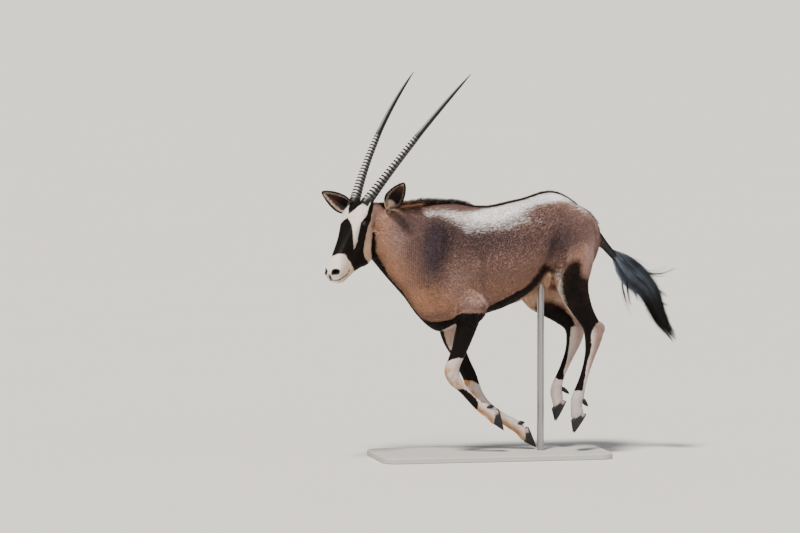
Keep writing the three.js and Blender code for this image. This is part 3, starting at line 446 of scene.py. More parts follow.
# tail from its root: x, y, z, half depth, half width
shaftRows = [
    [462, 0, 1040, 20, 20], [496, 0, 996, 24, 23], [533, 0, 951, 20, 19], [571, 0, 908, 17.5, 17],
    [611, 0, 866, 15, 15], [656, 0, 822, 11, 11], [700, 0, 776, 7, 7],
]
# legs from the top: x, y, z, half depth, half width
legRows = {
    "foreleg_left": [
        [-108, -98, 740, 62, 44], [-112, -92, 670, 60, 44], [-122, -88, 616, 52, 40],
        [-142, -84, 548, 45, 35], [-160, -80, 490, 38, 31], [-180, -77, 442, 34, 31],
        [-192, -75, 402, 36, 33], [-178, -74, 360, 31, 29], [-140, -72, 318, 22.5, 21],
        [-104, -70, 277, 21, 20], [-68, -68, 243, 24, 24], [-36, -66, 222, 29, 27],
        [-8, -65, 200, 28, 27], [12, -64, 181, 30, 29], [30, -64, 162, 30, 29],
    ],
    "foreleg_right": [
        [-120, 96, 740, 60, 44], [-132, 90, 660, 60, 43], [-151, 85, 590, 68, 41],
        [-149, 80, 530, 54, 36], [-130, 74, 475, 41, 32], [-106, 69, 418, 37, 31],
        [-80, 66, 366, 35, 31], [-63, 65, 317, 34, 32], [-38, 64, 274, 27, 26],
        [-5, 63, 235, 22, 21], [40, 62, 197, 21, 20], [82, 61, 164, 25, 24],
        [120, 60, 141, 29, 27], [149, 60, 120, 27, 27], [172, 60, 99, 30, 29],
        [188, 60, 80, 30, 29],
    ],
    "hindleg_left": [
        [392, -72, 1060, 70, 52], [382, -96, 985, 92, 76], [362, -114, 890, 92, 78],
        [352, -121, 815, 84, 66], [364, -122, 750, 70, 54], [390, -116, 690, 57, 44],
        [420, -107, 640, 46, 37], [446, -98, 600, 42, 33], [460, -93, 564, 46, 33],
        [457, -90, 520, 38, 30], [446, -89, 466, 27, 23], [431, -88, 410, 22, 20],
        [414, -88, 354, 21.5, 19], [400, -88, 310, 25, 23], [388, -88, 268, 30, 28],
        [382, -88, 232, 28, 28], [386, -88, 202, 31, 30], [388, -88, 176, 31, 30],
    ],
    "hindleg_right": [
        [372, 72, 1060, 70, 52], [338, 96, 970, 96, 76], [284, 114, 868, 102, 76],
        [240, 119, 780, 96, 62], [256, 116, 722, 80, 54], [304, 108, 680, 66, 46],
        [354, 100, 637, 52, 39], [394, 94, 598, 42, 33], [416, 90, 564, 45, 33],
        [412, 86, 516, 38, 30], [394, 83, 460, 27, 23], [370, 80, 404, 22, 20],
        [346, 77, 352, 21.5, 19], [331, 75, 312, 26, 24], [328, 75, 278, 30, 28],
        [334, 75, 244, 28, 28], [344, 75, 214, 31, 30], [350, 75, 190, 31, 30],
    ],
}
feet = {
    "foreleg_left": {
        "heel": [24, -64, 226], "toe": [48, -62, 130], "front": [-1, 0, -0.25], "dew": [-8, -6],
    },
    "foreleg_right": {
        "heel": [190, 60, 128], "toe": [227, 60, 37], "front": [-1, 0, -0.4], "dew": [8, -16],
    },
    "hindleg_left": {
        "heel": [426, -88, 196], "toe": [366, -88, 105], "front": [-1, 0, 0.6], "dew": [6, -4],
    },
    "hindleg_right": {
        "heel": [371, 75, 240], "toe": [324, 75, 151], "front": [-1, 0, 0.5], "dew": [10, 18],
    },
}
hoof = {
    "soleLength": 104, "coronetBack": 8, "coronetFront": 62, "heelHeight": 20, "frontHeight": 38,
    "overlap": 3,
    "halfWidth": 14, "cleft": 1.2, "splay": 2.6, "sides": 40, "levels": 26,
}
dewclaw = {"length": 37, "halfWidth": 9, "side": 13, "back": 18, "sides": 20, "levels": 12}
# head, along its own ways: place along, top, low, half width, share at the widest, low corner
headPlace = {"origin": [-627, -85, 1176], "turn": 38, "pitch": 55}
headRows = [
    [-66, -118, -150, 22, 0.5, 2], [-50, -92, -156, 42, 0.55, 2], [-32, -62, -150, 54, 0.62, 2],
    [-12, -30, -140, 59, 0.7, 2], [10, -8, -132, 62, 0.74, 2], [34, 1, -126, 65, 0.77, 2],
    [62, 4, -132, 68, 0.79, 2], [96, 3, -150, 67, 0.79, 2.2], [132, 1, -174, 58, 0.78, 2.6],
    [166, -2, -199, 52, 0.75, 2.9], [194, -3, -204, 46.5, 0.71, 3], [222, -4, -192, 42, 0.68, 3],
    [254, -5, -172, 39, 0.65, 3], [286, -6, -150, 38, 0.63, 3], [314, -7, -136, 40.5, 0.61, 3],
    [340, -8, -121, 42, 0.6, 3], [360, -13, -112, 41, 0.57, 2.8], [375, -24, -99, 34, 0.55, 2.5],
    [384, -40, -80, 19, 0.5, 2.2],
]
headForms = [
    {"at": [352, -62, 29], "radii": [30, 12, 17]},
    {"at": [64, -17, 54], "radii": [32, 14, 15]},
    {"at": [-4, -26, 35], "radii": [28, 28, 30]},
    {"at": [88, -37, 46], "radii": [26.5, 22.0, 23.5]},
]


# the head's own axes: towards the nose, out of the forehead, to its left, then ahead and up
def headAxes():
    turn, pitch = np.radians([headPlace["turn"], headPlace["pitch"]])
    heading = np.array([-np.cos(turn), -np.sin(turn), 0])
    up = np.array([0, 0, 1.0])
    nose = heading * np.cos(pitch) - up * np.sin(pitch)
    out = heading * np.sin(pitch) + up * np.cos(pitch)
    return nose, out, np.cross(up, heading), heading, up


noseWay, outWay, leftWay, headingWay, upWay = headAxes()
headOrigin = np.array(headPlace["origin"], float) * mm


# a point given along the nose, out of the forehead and to the left, in millimetres
def headPoint(along, out, side):
    along, out, side = (v[..., None] for v in np.broadcast_arrays(along, out, side))
    return headOrigin + (along * noseWay + out * outWay + side * leftWay) * mm


# the same in reverse, in metres
def headCoords(points):
    rel = points - headOrigin
    return rel @ noseWay, rel @ outWay, rel @ leftWay


skin = {
    "trunkSides": 72, "legSides": 36, "headSides": 60, "tailSides": 24, "steps": 5, "tailSteps": 4,
    "voxel": 0.0075, "rounds": 5, "chestRounds": 55, "chestBack": -0.2, "faceRounds": 4,
}


# trunk and neck: ovals across the body; gives rings, centres, side and up axes, radii, way ahead
def trunkTable(depth):
    rows = smoothRows(trunkRows, skin["steps"])
    top = np.stack([rows[:, 0], -rows[:, 6], rows[:, 1]], 1) * mm
    low = np.stack([rows[:, 2], -rows[:, 6], rows[:, 3]], 1) * mm
    middle = (top + low) / 2
    ahead = np.vstack([middle[:1], middle[:-1]]) - np.vstack([middle[1:], middle[-1:]])
    turn = np.arctan2(-ahead[:, 1], ahead[:, 0])
    side = np.stack([np.sin(turn), np.cos(turn), np.zeros(len(turn))], 1)
    up = unit(top - low)
    fuller = throatFill["depth"] * mm * ease(throatFill["from"], throatFill["to"], -low[:, 0])
    low = low - up * fuller[:, None]
    height = np.linalg.norm(top - low, axis=1)
    centre = low + up * (height * rows[:, 5])[:, None]
    half = rows[:, 4] * mm
    rise, fall = height * (1 - rows[:, 5]), height * rows[:, 5]
    rings = ovalRings(centre, side, up, half - depth, rise - depth, fall - depth,
                      skin["trunkSides"], 2.1, 1.95)
    return rings, centre, side, up, (half + height / 2) / 2, unit(ahead)


# a tube of ovals square to its path; gives the same six
def tubeTable(table, depth, sides, steps):
    rows = smoothRows(table, steps) * mm
    centre, tall, wide = rows[:, :3], rows[:, 3], rows[:, 4]
    along = unit(np.vstack([centre[1:], centre[-1:]]) - np.vstack([centre[:1], centre[:-1]]))
    side = unit(np.array([0, 1.0, 0]) - along * along[:, 1:2])
    deep = np.cross(along, side)
    rings = ovalRings(centre, side, deep, wide - depth, tall - depth, tall - depth, sides)
    return rings, centre, side, deep, (tall + wide) / 2, along


# the head: ovals square to the nose's way; gives the same six
def headTable(depth):
    rows = smoothRows(headRows, skin["steps"])
    height, half = (rows[:, 1] - rows[:, 2]) * mm, rows[:, 3] * mm
    rise, fall = height * (1 - rows[:, 4]), height * rows[:, 4]
    centre = headPoint(rows[:, 0], rows[:, 2] + height / mm * rows[:, 4], 0)
    side, up, nose = (np.broadcast_to(way, centre.shape) for way in (leftWay, outWay, noseWay))
    rings = ovalRings(centre, side, up, half - depth, rise - depth, fall - depth,
                      skin["headSides"], 2.7, rows[:, 5])
    middle = headPoint(rows[:, 0], (rows[:, 1] + rows[:, 2]) / 2, 0)
    return rings, middle, side, up, (half + height / 2) / 2, nose


# an egg: centre + sin(lat) (cos(lon) a + sin(lon) b) + cos(lat) c, its three half axes a, b, c
def egg(centre, axes, radii, across=32, down=18):
    a, b, c = (np.asarray(way, float) * reach for way, reach in zip(axes, radii))
    lat = (np.pi * np.linspace(0.03, 0.97, down))[:, None, None]
    lon = turnSteps(across)[None, :, None]
    return loft(np.asarray(centre) + np.sin(lat) * (np.cos(lon) * a + np.sin(lon) * b) + np.cos(lat) * c)


# the frame of a foot: heel, along the sole, up out of it, and across
def footFrame(name):
    foot = feet[name]
    heel = np.array(foot["heel"], float) * mm
    along = unit(np.array(foot["toe"], float) * mm - heel)
    front = np.array(foot["front"], float)
    up = unit(front - along * (front @ along))
    return heel, along, up, np.cross(up, along)


# what is left of a bmesh as a mesh
def fromWork(work, name):
    mesh = bpy.data.meshes.new(name)
    work.to_mesh(mesh)
    work.free()
    return mesh


# a leg's tube, cut off by the plane through the hoof's upper edge
def legShell(name):
    rows = np.array(legRows[name], float)
    share = ease(0.15, 0.5, np.arange(len(rows)) / (len(rows) - 1))
    rows[:, 3:] -= column(coat["legTop"] + (coat["legLow"] - coat["legTop"]) * share)
    points, faces = loft(tubeTable(rows, 0, skin["legSides"], skin["steps"])[0])
    heel, along, up, across = footFrame(name)
    back = heel + (along * hoof["coronetBack"] + up * (hoof["heelHeight"] - hoof["overlap"])) * mm
    front = heel + (along * hoof["coronetFront"] + up * (hoof["frontHeight"] - hoof["overlap"])) * mm
    normal = unit(np.cross(front - back, across))
    normal = normal if normal @ up > 0 else -normal
    work = bmesh.new()
    work.from_mesh(makeMesh(name, points, faces))
    every = work.verts[:] + work.edges[:] + work.faces[:]
    bmesh.ops.bisect_plane(work, geom=every, plane_co=back, plane_no=normal, clear_inner=True)
    bmesh.ops.holes_fill(work, edges=[e for e in work.edges if e.is_boundary])
    bmesh.ops.triangulate(work, faces=work.faces[:])
    cut = fromWork(work, name + "Cut")
    return meshArrays(cut)[0], readRows(cut.polygons, "vertices", 3, np.int32)


# axes that lean in the upright plane
def leaning(degrees):
    c, s = np.cos(np.radians(degrees)), np.sin(np.radians(degrees))
    return [np.array([c, 0, -s]), np.array([0, 1.0, 0]), np.array([s, 0, c])]


# a form of the body as an egg, smaller by the depth of the coat
def formShell(form, depth, mirror=1):
    radii = (np.array(form["radii"], float) - depth) * mm
    return egg(np.array(form["at"], float) * [1, mirror, 1] * mm, leaning(form["lean"]), radii)


# the whole flesh as shells that overlap
def bodyShells():
    shells = [loft(trunkTable(coat["trunk"] * mm)[0]), loft(headTable(coat["head"] * mm)[0])]
    shells += [legShell(name) for name in legRows]
    dock = np.array(shaftRows[:4], float)
    shells.append(loft(tubeTable(dock, coat["tail"] * mm, skin["tailSides"], skin["tailSteps"])[0]))
    for form in muscles + lowForms:
        for mirror in ((-1, 1) if form["at"][1] else (1,)):
            shells.append(formShell(form, coat["trunk"], mirror))
    shells += [formShell(form, coat["legLow"]) for form in hockForms + [groinForm]]
    for form in headForms:
        radii = (np.array(form["radii"], float) - coat["head"]) * mm
        along, out, side = form["at"]
        for mirror in (-1, 1):
            shells.append(egg(headPoint(along, out, side * mirror), [noseWay, leftWay, outWay], radii))
    return joined(shells)


# splits the faces where the mask holds, each edge in two
def refine(mesh, wanted):
    work = bmesh.new()
    work.from_mesh(mesh)
    work.edges.ensure_lookup_table()
    picks = np.nonzero(wanted[meshArrays(mesh)[2]].all(1))[0]
    bmesh.ops.subdivide_edges(work, edges=[work.edges[i] for i in picks], cuts=1, use_grid_fill=True)
    return fromWork(work, mesh.name)


eyes = {
    "along": 88, "out": -37, "side": 46, "radius": 19.5, "slitLength": 38, "slitHeight": 26,
    "lean": [0.25, 0.1], "bed": 0.015,
}


# an eye's own frame: its middle, the way it looks, along the slit and across it
def eyeAxes(side):
    aim = unit(leftWay * side + outWay * eyes["lean"][0] + noseWay * eyes["lean"][1])
    length = unit(noseWay - aim * (noseWay @ aim))
    centre = headPoint(eyes["along"], eyes["out"], side * eyes["side"])
    return centre, aim, length, np.cross(aim, length) * side


# how far points lie out from an eye's middle, 1 at a slit grown by two factors, and how far ahead
def slitReach(points, way, longer, higher):
    centre, aim, length, height = eyeAxes(way)
    rel = points - centre
    along = (rel @ length) / (eyes["slitLength"] * longer * mm)
    across = (rel @ height) / (eyes["slitHeight"] * higher * mm)
    return np.hypot(along, across), rel @ aim


# creases (height below 0) and swellings of the flanks, as lines in the side view, in millimetres
bodyForms = [
    {"line": [[-84, 905], [-76, 840], [-68, 780], [-56, 712]], "width": 17, "height": -4.5},
    {"line": [[-130, 1010], [-104, 950], [-84, 905]], "width": 24, "height": -3.5},
    {"line": [[-262, 1060], [-292, 960], [-300, 860], [-270, 760]], "width": 30, "height": -4.0},
    {"line": [[288, 1110], [270, 1030], [256, 960], [242, 900]], "width": 17, "height": -9.0},
    {"line": [[330, 1110], [345, 1020], [350, 930]], "width": 24, "height": -3.0},
    {"line": [[422, 1060], [436, 960], [436, 860], [440, 780]], "width": 16, "height": -4.0},
    {"line": [[222, 884], [244, 872], [276, 862]], "width": 12, "height": -5.0},
    {"line": [[-196, 668], [-140, 664], [-96, 672], [-58, 690]], "width": 11, "height": -5.0},
    {"line": [[-300, 650], [-240, 662], [-196, 668]], "width": 10, "height": -3.5},
    {"line": [[262, 1150], [290, 1128]], "width": 24, "height": 8.0},
    {"line": [[-170, 1090], [-206, 960], [-225, 850]], "width": 22, "height": 2.5},
    {"line": [[-114, 850], [-106, 790], [-98, 740]], "width": 26, "height": 2.0},
    {"line": [[-122, 706], [-92, 700], [-66, 706]], "width": 20, "height": 8.0},
    {"line": [[232, 1060], [226, 960], [212, 900]], "width": 20, "height": 4.0},
    {"line": [[480, 990], [478, 950]], "width": 20, "height": 4.0},
]


# one form's lift at points of a plane: height * bell(distance to its line, width)
def lifted(form, x, y):
    return form["height"] * mm * bell(lineGap(form["line"], x, y), form["width"] * mm)


# moves the skin along its normal by the sum of the body's forms, on the flanks and off the head
def bodyRelief(points, normals):
    x, z = points[:, 0], points[:, 2]
    flank = ease(0.2, 0.7, np.abs(normals[:, 1])) * ease(0.03, 0.08, np.abs(points[:, 1]))
    move = sum(lifted(form, x, z) for form in bodyForms)
    clear = np.maximum(ease(-0.10, -0.16, headCoords(points)[0]), ease(-0.34, -0.28, x))
    return points + normals * (move * flank * clear)[:, None]


nostril = {"along": 358, "out": -25, "side": 28, "reach": 14, "height": 11.0, "across": 17, "depth": 13}
mouth = {
    "line": [[392, -50], [382, -60], [368, -68], [352, -76], [336, -86], [322, -92], [306, -97]],
    "width": 3.0, "height": -6.2,
}


# how far from a nostril's middle, 1 at its rim, and the distance to the line of the mouth
def noseFields(a, o, s):
    da, do = a - nostril["along"] * mm, o - nostril["out"] * mm
    along = (da * 0.80 + do * 0.6) / (nostril["reach"] * mm)
    out = (do * 0.80 - da * 0.6) / (nostril["height"] * mm)
    across = (np.abs(s) - nostril["side"] * mm) / (nostril["across"] * mm)
    return np.sqrt(along ** 2 + out ** 2 + across ** 2), lineGap(mouth["line"], a, o)


# the face's hollows and ridges: lines along the nose and out, in millimetres, and where they count
faceForms = {
    "before the eye": {"line": [[126, -34], [150, -44]], "width": 14, "height": -3.5, "on": "side"},
    "cheek teeth": {"line": [[205, -58], [270, -60]], "width": 20, "height": -4, "on": "side"},
    "cheek ridge": {"line": [[120, -74], [190, -92], [230, -96]], "width": 11, "height": 3, "on": "side"},
    "jaw muscle": {"line": [[120, -120], [165, -140]], "width": 30, "height": 4, "on": "side"},
    "lower jaw": {"line": [[120, -176], [165, -196], [205, -194]], "width": 30, "height": 9, "on": "low"},
    "jaw groove": {"line": [[30, -60], [56, -92], [74, -130]], "width": 13, "height": -5, "on": "side"},
    "temple": {"line": [[24, -40], [48, -52]], "width": 13, "height": -4, "on": "side"},
    "nose side": {"line": [[338, -36], [356, -34]], "width": 14, "height": 3, "on": "off middle"},
    "lower lip": {"line": [[376, -66], [352, -76], [330, -86]], "width": 8, "height": 2.2, "on": "all"},
    "upper lip": {"line": [[376, -44], [352, -54], [325, -68]], "width": 7, "height": 1.5, "on": "all"},
    "mouth": {**mouth, "on": "lips"},
}


# moves the skin of the face: its forms, the flat bridge, the nostrils and the beds of the eyes
def faceRelief(points, normals):
    a, o, s = headCoords(points)
    side = np.abs(s)
    masks = {
        "side": ease(0.3, 0.8, np.abs(normals @ leftWay)) * ease(-0.05, 0.02, a), "low": o < -0.12,
        "off middle": ease(0.015, 0.03, side), "all": 1, "lips": ease(0.298, 0.31, a),
    }
    move = sum(lifted(form, a, o) * masks[form["on"]] for form in faceForms.values())
    # flat bridge with soft edges
    move += 0.0012 * bell(side - 0.027, 0.006) * ease(0.13, 0.17, a) * ease(0.31, 0.27, a) * (o > -0.03)
    # nostrils: a slanting opening with a raised rim
    hole, gap = noseFields(a, o, s)
    move -= nostril["depth"] * mm * ease(1.1, 0.45, hole)
    move += 0.0020 * bell(hole - 1.40, 0.30)
    points = points + normals * move[:, None]
    # eye beds: inside the slit the skin drops behind the ball
    for way in (-1, 1):
        reach, ahead = slitReach(points, way, 0.5, 0.5)
        drop = ease(1.12, 0.92, reach) * ease(0.004, 0.012, ahead)
        points = points - eyeAxes(way)[1] * (drop * eyes["bed"])[:, None]
    return points


# one even skin over all the shells
def evenSkin():
    points, faces = bodyShells()
    rough = bpy.data.objects.new("skinRough", makeMesh("skinRough", points, faces))
    bpy.context.scene.collection.objects.link(rough)
    remesh = rough.modifiers.new("evenSkin", "REMESH")
    remesh.mode = "VOXEL"
    remesh.voxel_size = skin["voxel"]
    even = bpy.data.meshes.new_from_object(rough.evaluated_get(bpy.context.evaluated_depsgraph_get()))
    bpy.data.objects.remove(rough)
    return even


# the skin smoothed, made finer on the face, then moved by the forms of body and face
def buildSkin():
    even = evenSkin()
    places, normals, edges = meshArrays(even)
    a, o, s = headCoords(places)
    places = relax(places, edges, skin["rounds"])
    # the step between neck and shoulder, smoothed away on both flanks
    x, y, z = places.T
    chest = ease(-0.42, -0.35, x) * ease(-0.18, -0.25, x) * ease(0.60, 0.67, z) * ease(0.98, 0.88, z)
    chest = chest * ease(0.03, 0.08, np.abs(y))
    places = relax(places, edges, skin["chestRounds"], chest, 0.5, skin["chestBack"])
    movePoints(even, places)
    # finer faces on the head, finer again round the eyes and on the muzzle
    finer = refine(even, (a > -0.045) & (np.abs(s) < 0.12) & (places[:, 0] < -0.53))
    places, normals, edges = meshArrays(finer)
    a, o, s = headCoords(places)
    eyeSpot = (np.abs(a - 0.088) < 0.034) & (o > -0.075) & (np.abs(s) > 0.03) & (np.abs(s) < 0.12)
    muzzle = (a > 0.29) & (np.abs(s) < 0.1)
    finest = refine(finer, (eyeSpot | muzzle) & (places[:, 0] < -0.53))
    places, normals, edges = meshArrays(finest)
    face = ease(-0.06, 0.0, headCoords(places)[0]) * (places[:, 0] < -0.5)
    movePoints(finest, relax(places, edges, skin["faceRounds"], face))
    places, normals, edges = meshArrays(finest)
    movePoints(finest, faceRelief(bodyRelief(places, normals), normals))
    finest.polygons.foreach_set("use_smooth", np.ones(len(finest.polygons), bool))
    finest.update()
    return finest


skinMesh = buildSkin()
skinPoints, skinNormals = meshArrays(skinMesh)[:2]
print("skin:", len(skinPoints), "points,", len(skinMesh.polygons), "faces")

# each part's rings, centres, side and up axes, radii and way: trunk, head, four legs, tail
lines = [trunkTable(0), headTable(0)]
lines += [tubeTable(legRows[name], 0, 8, skin["steps"]) for name in legRows]
lines.append(tubeTable(shaftRows, 0, 8, skin["tailSteps"]))
lineSizes = np.array([len(line[1]) for line in lines])
lineStarts = np.cumsum(lineSizes) - lineSizes
lineCentre, lineSide, lineUp, lineRadius = (np.concatenate([line[k] for line in lines]) for k in range(1, 5))
# the hair lies against the way of trunk and head, and along the way of the rest
hairWays = np.concatenate([line[5] * (-1 if k < 2 else 1) for k, line in enumerate(lines)])
favour = {"head": 0.02, "legs": 0.03}


# the nearest part of each point, the place along it, the angle round it and the axes there
def locate(points):
    best = np.full(len(points), 1e9)
    part = np.zeros(len(points), int)
    spot = np.zeros(len(points), int)
    headSooner = favour["head"] * ease(-0.02, 0.04, headCoords(points)[0])
    legLater = favour["legs"] * ease(0.62, 0.78, points[:, 2])
    for k, line in enumerate(lines):
        gap = ((points[:, None, :] - line[1][None]) ** 2).sum(-1)
        at = gap.argmin(1)
        off = np.sqrt(gap[np.arange(len(points)), at]) - line[4][at]
        off = off - headSooner * (k == 1) + legLater * (1 < k < 6)
        nearer = off < best
        best = np.where(nearer, off, best)
        part = np.where(nearer, k, part)
        spot = np.where(nearer, at, spot)
    at = lineStarts[part] + spot
    centre, side, up = lineCentre[at], lineSide[at], lineUp[at]
    rel = points - centre
    angle = np.arctan2((rel * up).sum(1), (rel * side).sum(1))
    return {"part": part, "share": spot / (lineSizes[part] - 1), "angle": angle, "centre": centre,
            "way": hairWays[at], "up": up, "side": side, "radius": lineRadius[at]}


# each part's rectangle on the unwrap: left, bottom, width, height
sheets = np.array([
    (0.01, 0.40, 0.98, 0.59), (0.01, 0.01, 0.30, 0.37), (0.33, 0.01, 0.15, 0.37), (0.49, 0.01, 0.15, 0.37),
    (0.65, 0.01, 0.15, 0.37), (0.81, 0.01, 0.15, 0.37), (0.965, 0.01, 0.03, 0.37),
])


# the unwrap: along the part one way, the angle round it the other
def unwrap(place):
    left, bottom, width, height = sheets[place["part"]].T
    u = left + width * place["share"]
    v = bottom + height * (place["angle"] / (2 * np.pi) + 0.5)
    return np.stack([u, v], 1)


# the view the marks were measured in: cells of 4.5 mm, counted right and down, near side seen
photoView = {"cell": 0.0045, "zero": [490, 449], "floor": 0.040,
             "right": [0.978, -0.208, 0.0], "up": [0.0163, 0.0768, 0.9969]}
# marks of the trunk in that view; the far side wears them mirrored
bodyMarks = {
    "throat": [[372.5, 233], [376.5, 232], [377.5, 240], [378, 252], [380.5, 259], [384, 265], [387, 270],
               [390, 277], [393.5, 281.5], [398, 287], [402.5, 291], [406, 296.5], [409, 302],
               [413, 307.5], [417, 312.5], [421, 317.5], [425, 320.5], [431, 322], [438, 322],
               [444, 321], [450, 319.5], [456, 318], [462, 316.3], [470, 316.5], [478, 317.3],
               [486, 316.2], [490, 318], [490, 345], [420, 345], [390, 310], [387, 279], [382, 272],
               [377.5, 266], [374, 260.5], [371.8, 258], [371, 250], [372, 240]],
    "band": [[489.5, 307.5], [492, 305], [495, 303.5], [500, 300.8], [504, 298.8], [508, 296.8],
             [512, 294.5], [517, 291.7], [522, 289.2], [527, 285.8], [531, 281.5], [535, 276.3],
             [538.5, 271.8], [541, 267], [543.5, 264], [546, 262.8], [549, 265], [553, 267.3],
             [558, 269.5], [561, 271.3], [558, 272.8], [553, 272.5], [548.5, 272.3], [545.5, 275],
             [543, 280], [539, 285], [534, 289.5], [528, 294], [522, 298], [516, 302], [510, 305.5],
             [500, 309.8], [493, 312.3], [488, 315], [483, 320], [478, 325], [470, 330], [470, 318],
             [484, 314]],
    "belly": [[546, 275], [549, 272.8], [552, 273], [556, 280], [560, 300], [560, 340], [470, 340],
              [478, 325], [488, 315], [500, 309.8], [516, 302], [528, 294], [539, 285]],
    "thigh": [[576, 259.3], [580, 260.3], [581.6, 263], [582, 268], [582.2, 273], [584, 276.5], [587, 277],
              [590.5, 278.5], [600, 279], [612, 300], [612, 318], [601, 320.5], [596.5, 324],
              [593.3, 329], [591.7, 334], [592, 340], [592.4, 346], [591, 352], [590, 357], [588, 363],
              [586.5, 370], [586, 376], [584.7, 383], [583.2, 391.3], [578, 391], [573.5, 391.5],
              [565, 391], [570, 370], [578, 350], [574, 330], [571.5, 322], [570, 315], [566.5, 308],
              [563.5, 301], [561.5, 293], [560.5, 285], [560, 277], [561.5, 271], [565, 267], [569, 263],
              [572, 260.3]],
    "cheekTuft": [[400, 205], [393, 209.5], [388, 214.5], [385.5, 219.5]],
    "pollTuft": [[376.8, 203], [382.5, 203.8]],
}
# soft shades of the coat in that view: middle, radii, lean in degrees, amount; some are painted light or
# shade, as said at each
shades = {
    # grey: partly the coat's darker tone, partly painted shade on the upper flank and in the creases behind
    # the elbow and at the hip
    "grey": [[[488, 240], [58, 17], -4, 0.72], [[435, 258], [15, 34], 4, 0.86],
             [[406, 222], [20, 15], 0, 0.6], [[568, 238], [24, 24], 0, 0.66],
             [[445, 226], [26, 12], 0, 0.4], [[502, 274], [40, 26], 0, 0.14],
             [[552, 250], [4, 14], 20, 0.35], [[540, 214], [30, 12], 0, 0.3],
             [[465, 206], [26, 4], 5, 0.5], [[482.5, 284], [2.0, 20], -6, 0.55],
             [[434, 250], [8, 26], 2, 0.15], [[592, 232], [7, 12], 0, 0.3]],
    # warm: partly the coat's tan, partly painted warm light bounced up onto the chest and belly
    "warm": [[[428, 303], [44, 18], 0, 0.85], [[396, 268], [13, 26], -38, 0.75],
             [[384, 236], [8, 24], 0, 0.6], [[381, 218], [13, 14], 0, 0.7],
             [[500, 290], [40, 12], -12, 0.35], [[555, 283], [16, 14], 0, 0.5]],
    "blush": [[[476, 302], [15, 9], -20, 0.75], [[592, 256], [7, 26], 8, 0.75],
              [[460, 285], [14, 18], 0, 0.35], [[398, 240], [12, 20], 0, 0.35],
              [[381, 218], [13, 13], 0, 0.3]],
    # a painted sheen: light streaks along the top of the neck, back and rump
    "paintedSheen": [[[518, 206], [40, 9], -17, 1.35], [[552, 197], [17, 6.5], 4, 1.2],
               [[444, 213], [23, 7], 4, 1.02], [[483, 215], [24, 7], -8, 0.9],
               [[502, 225], [34, 10], -12, 0.86], [[466, 226], [18, 10], 20, 0.5],
               [[580, 207], [26, 7], 38, 0.92], [[428, 214], [8, 5], 0, 0.35],
               [[538, 222], [20, 8], -8, 0.4]],
    "flecks": [[[433, 262], [7, 30], 2, 1.0], [[465, 262], [16, 14], 0, 0.25]],
}
# marks of the four legs in the same view, each seen through from side to side
legMarks = {
    "foreleg_left": [[[447, 362], [452, 359.5], [458, 358], [465.5, 358.6], [475, 340], [484, 320],
                      [492, 318], [486, 300], [440, 300], [440, 350]],
                     [[458, 389.3], [463, 388.8], [467, 391], [471, 394], [475, 398], [478, 402],
                      [478.7, 406], [477, 409.5], [474, 412.5], [466, 412], [454, 393]],
                     [[480.5, 400.8], [487, 401.6], [492, 401.8], [494, 404.5], [490, 404.8],
                      [486, 403.4], [481, 402.4]]],
    "foreleg_right": [[[432, 300], [500, 300], [500, 386], [479, 385], [476, 383], [473, 381.5],
                       [468, 381], [462, 380.5], [455, 378], [448, 372], [440, 350]]],
    "hindleg_left": [],
    "hindleg_right": [[[541, 302], [546, 300.5], [551, 301], [556, 302.5], [561, 304.5], [565, 308],
                       [569, 313], [573, 318], [576, 324], [575.5, 327], [572.3, 327.5], [571.7, 335],
                       [571.2, 343], [570, 350], [569, 358], [567, 366], [565, 373], [565.5, 381],
                       [560, 380.5], [556, 378.5], [548, 378], [555, 360], [560, 345], [562, 332],
                       [558, 326], [545, 320], [534, 308]]],
}
# marks of the hidden outside of the far thigh, in the side view (x, z)
farThigh = [[220, 870], [250, 900], [290, 905], [330, 860], [420, 824], [520, 815], [560, 700],
            [560, 520], [390, 520], [370, 570], [340, 600], [262, 640], [200, 700], [180, 780]]
# outlines of the face's marks: along the nose, and the way round from the middle line
faceMarks = {
    "blaze": [[92, 0], [99, 8], [106, 18], [120, 33], [146, 50], [170, 67], [192, 85], [212, 102],
              [219, 118], [220, 155], [228, 250], [300, 250], [286, 160], [280, 142], [272, 112],
              [264, 70], [275, 23], [290, 0], [290, -60], [92, -60]],
    "stripe": [[-44, 66], [3, 74], [24, 76], [48, 82], [68, 82], [88, 73], [104, 64], [112, 71],
               [132, 78], [156, 86], [184, 97], [206, 98], [217, 94],
               [232, 150], [232, 250], [214, 250], [204, 175],
               [187, 151], [131, 131], [92, 119], [60, 121], [31, 110], [-4, 98], [-44, 92]],
    "diamond": [[-60, 47], [0, 45], [12, 42], [26, 30], [48, 19], [62, 10], [74, 0], [74, -60], [-60, -60]],
}
# where the face's white ends round from the middle line, at places along the nose, in metres
paleEdge = [[-0.03, 0, 0.025, 0.06, 0.09, 0.12, 0.14], [0.085, 0.10, 0.112, 0.136, 0.15, 0.19, 0.3]]


# a point's place in the photo's view, in metres right and down
def photoPlace(x, y, z):
    right, up = photoView["right"], photoView["up"]
    tall = up[0] * x + up[1] * y + up[2] * z
    zero = np.array(photoView["zero"]) * photoView["cell"]
    return zero[0] + right[0] * x + right[1] * y, zero[1] - (tall - photoView["floor"])


# sum of soft ovals: amount * exp(-(u / a)^2 - (v / b)^2) along their leaning axes
def shaded(name, seen):
    across, down = (v / photoView["cell"] for v in seen)
    total = np.zeros(len(across))
    for middle, radii, lean, amount in shades[name]:
        c, s = np.cos(np.radians(lean)), np.sin(np.radians(lean))
        dx, dy = across - middle[0], down - middle[1]
        total += amount * bell(np.hypot((dx * c + dy * s) / radii[0], (dy * c - dx * s) / radii[1]), 1.0)
    return total


# signed distance into one of the marks of the photo's view, in metres
def onMark(outline, seen):
    return inside(outline, *seen, photoView["cell"])


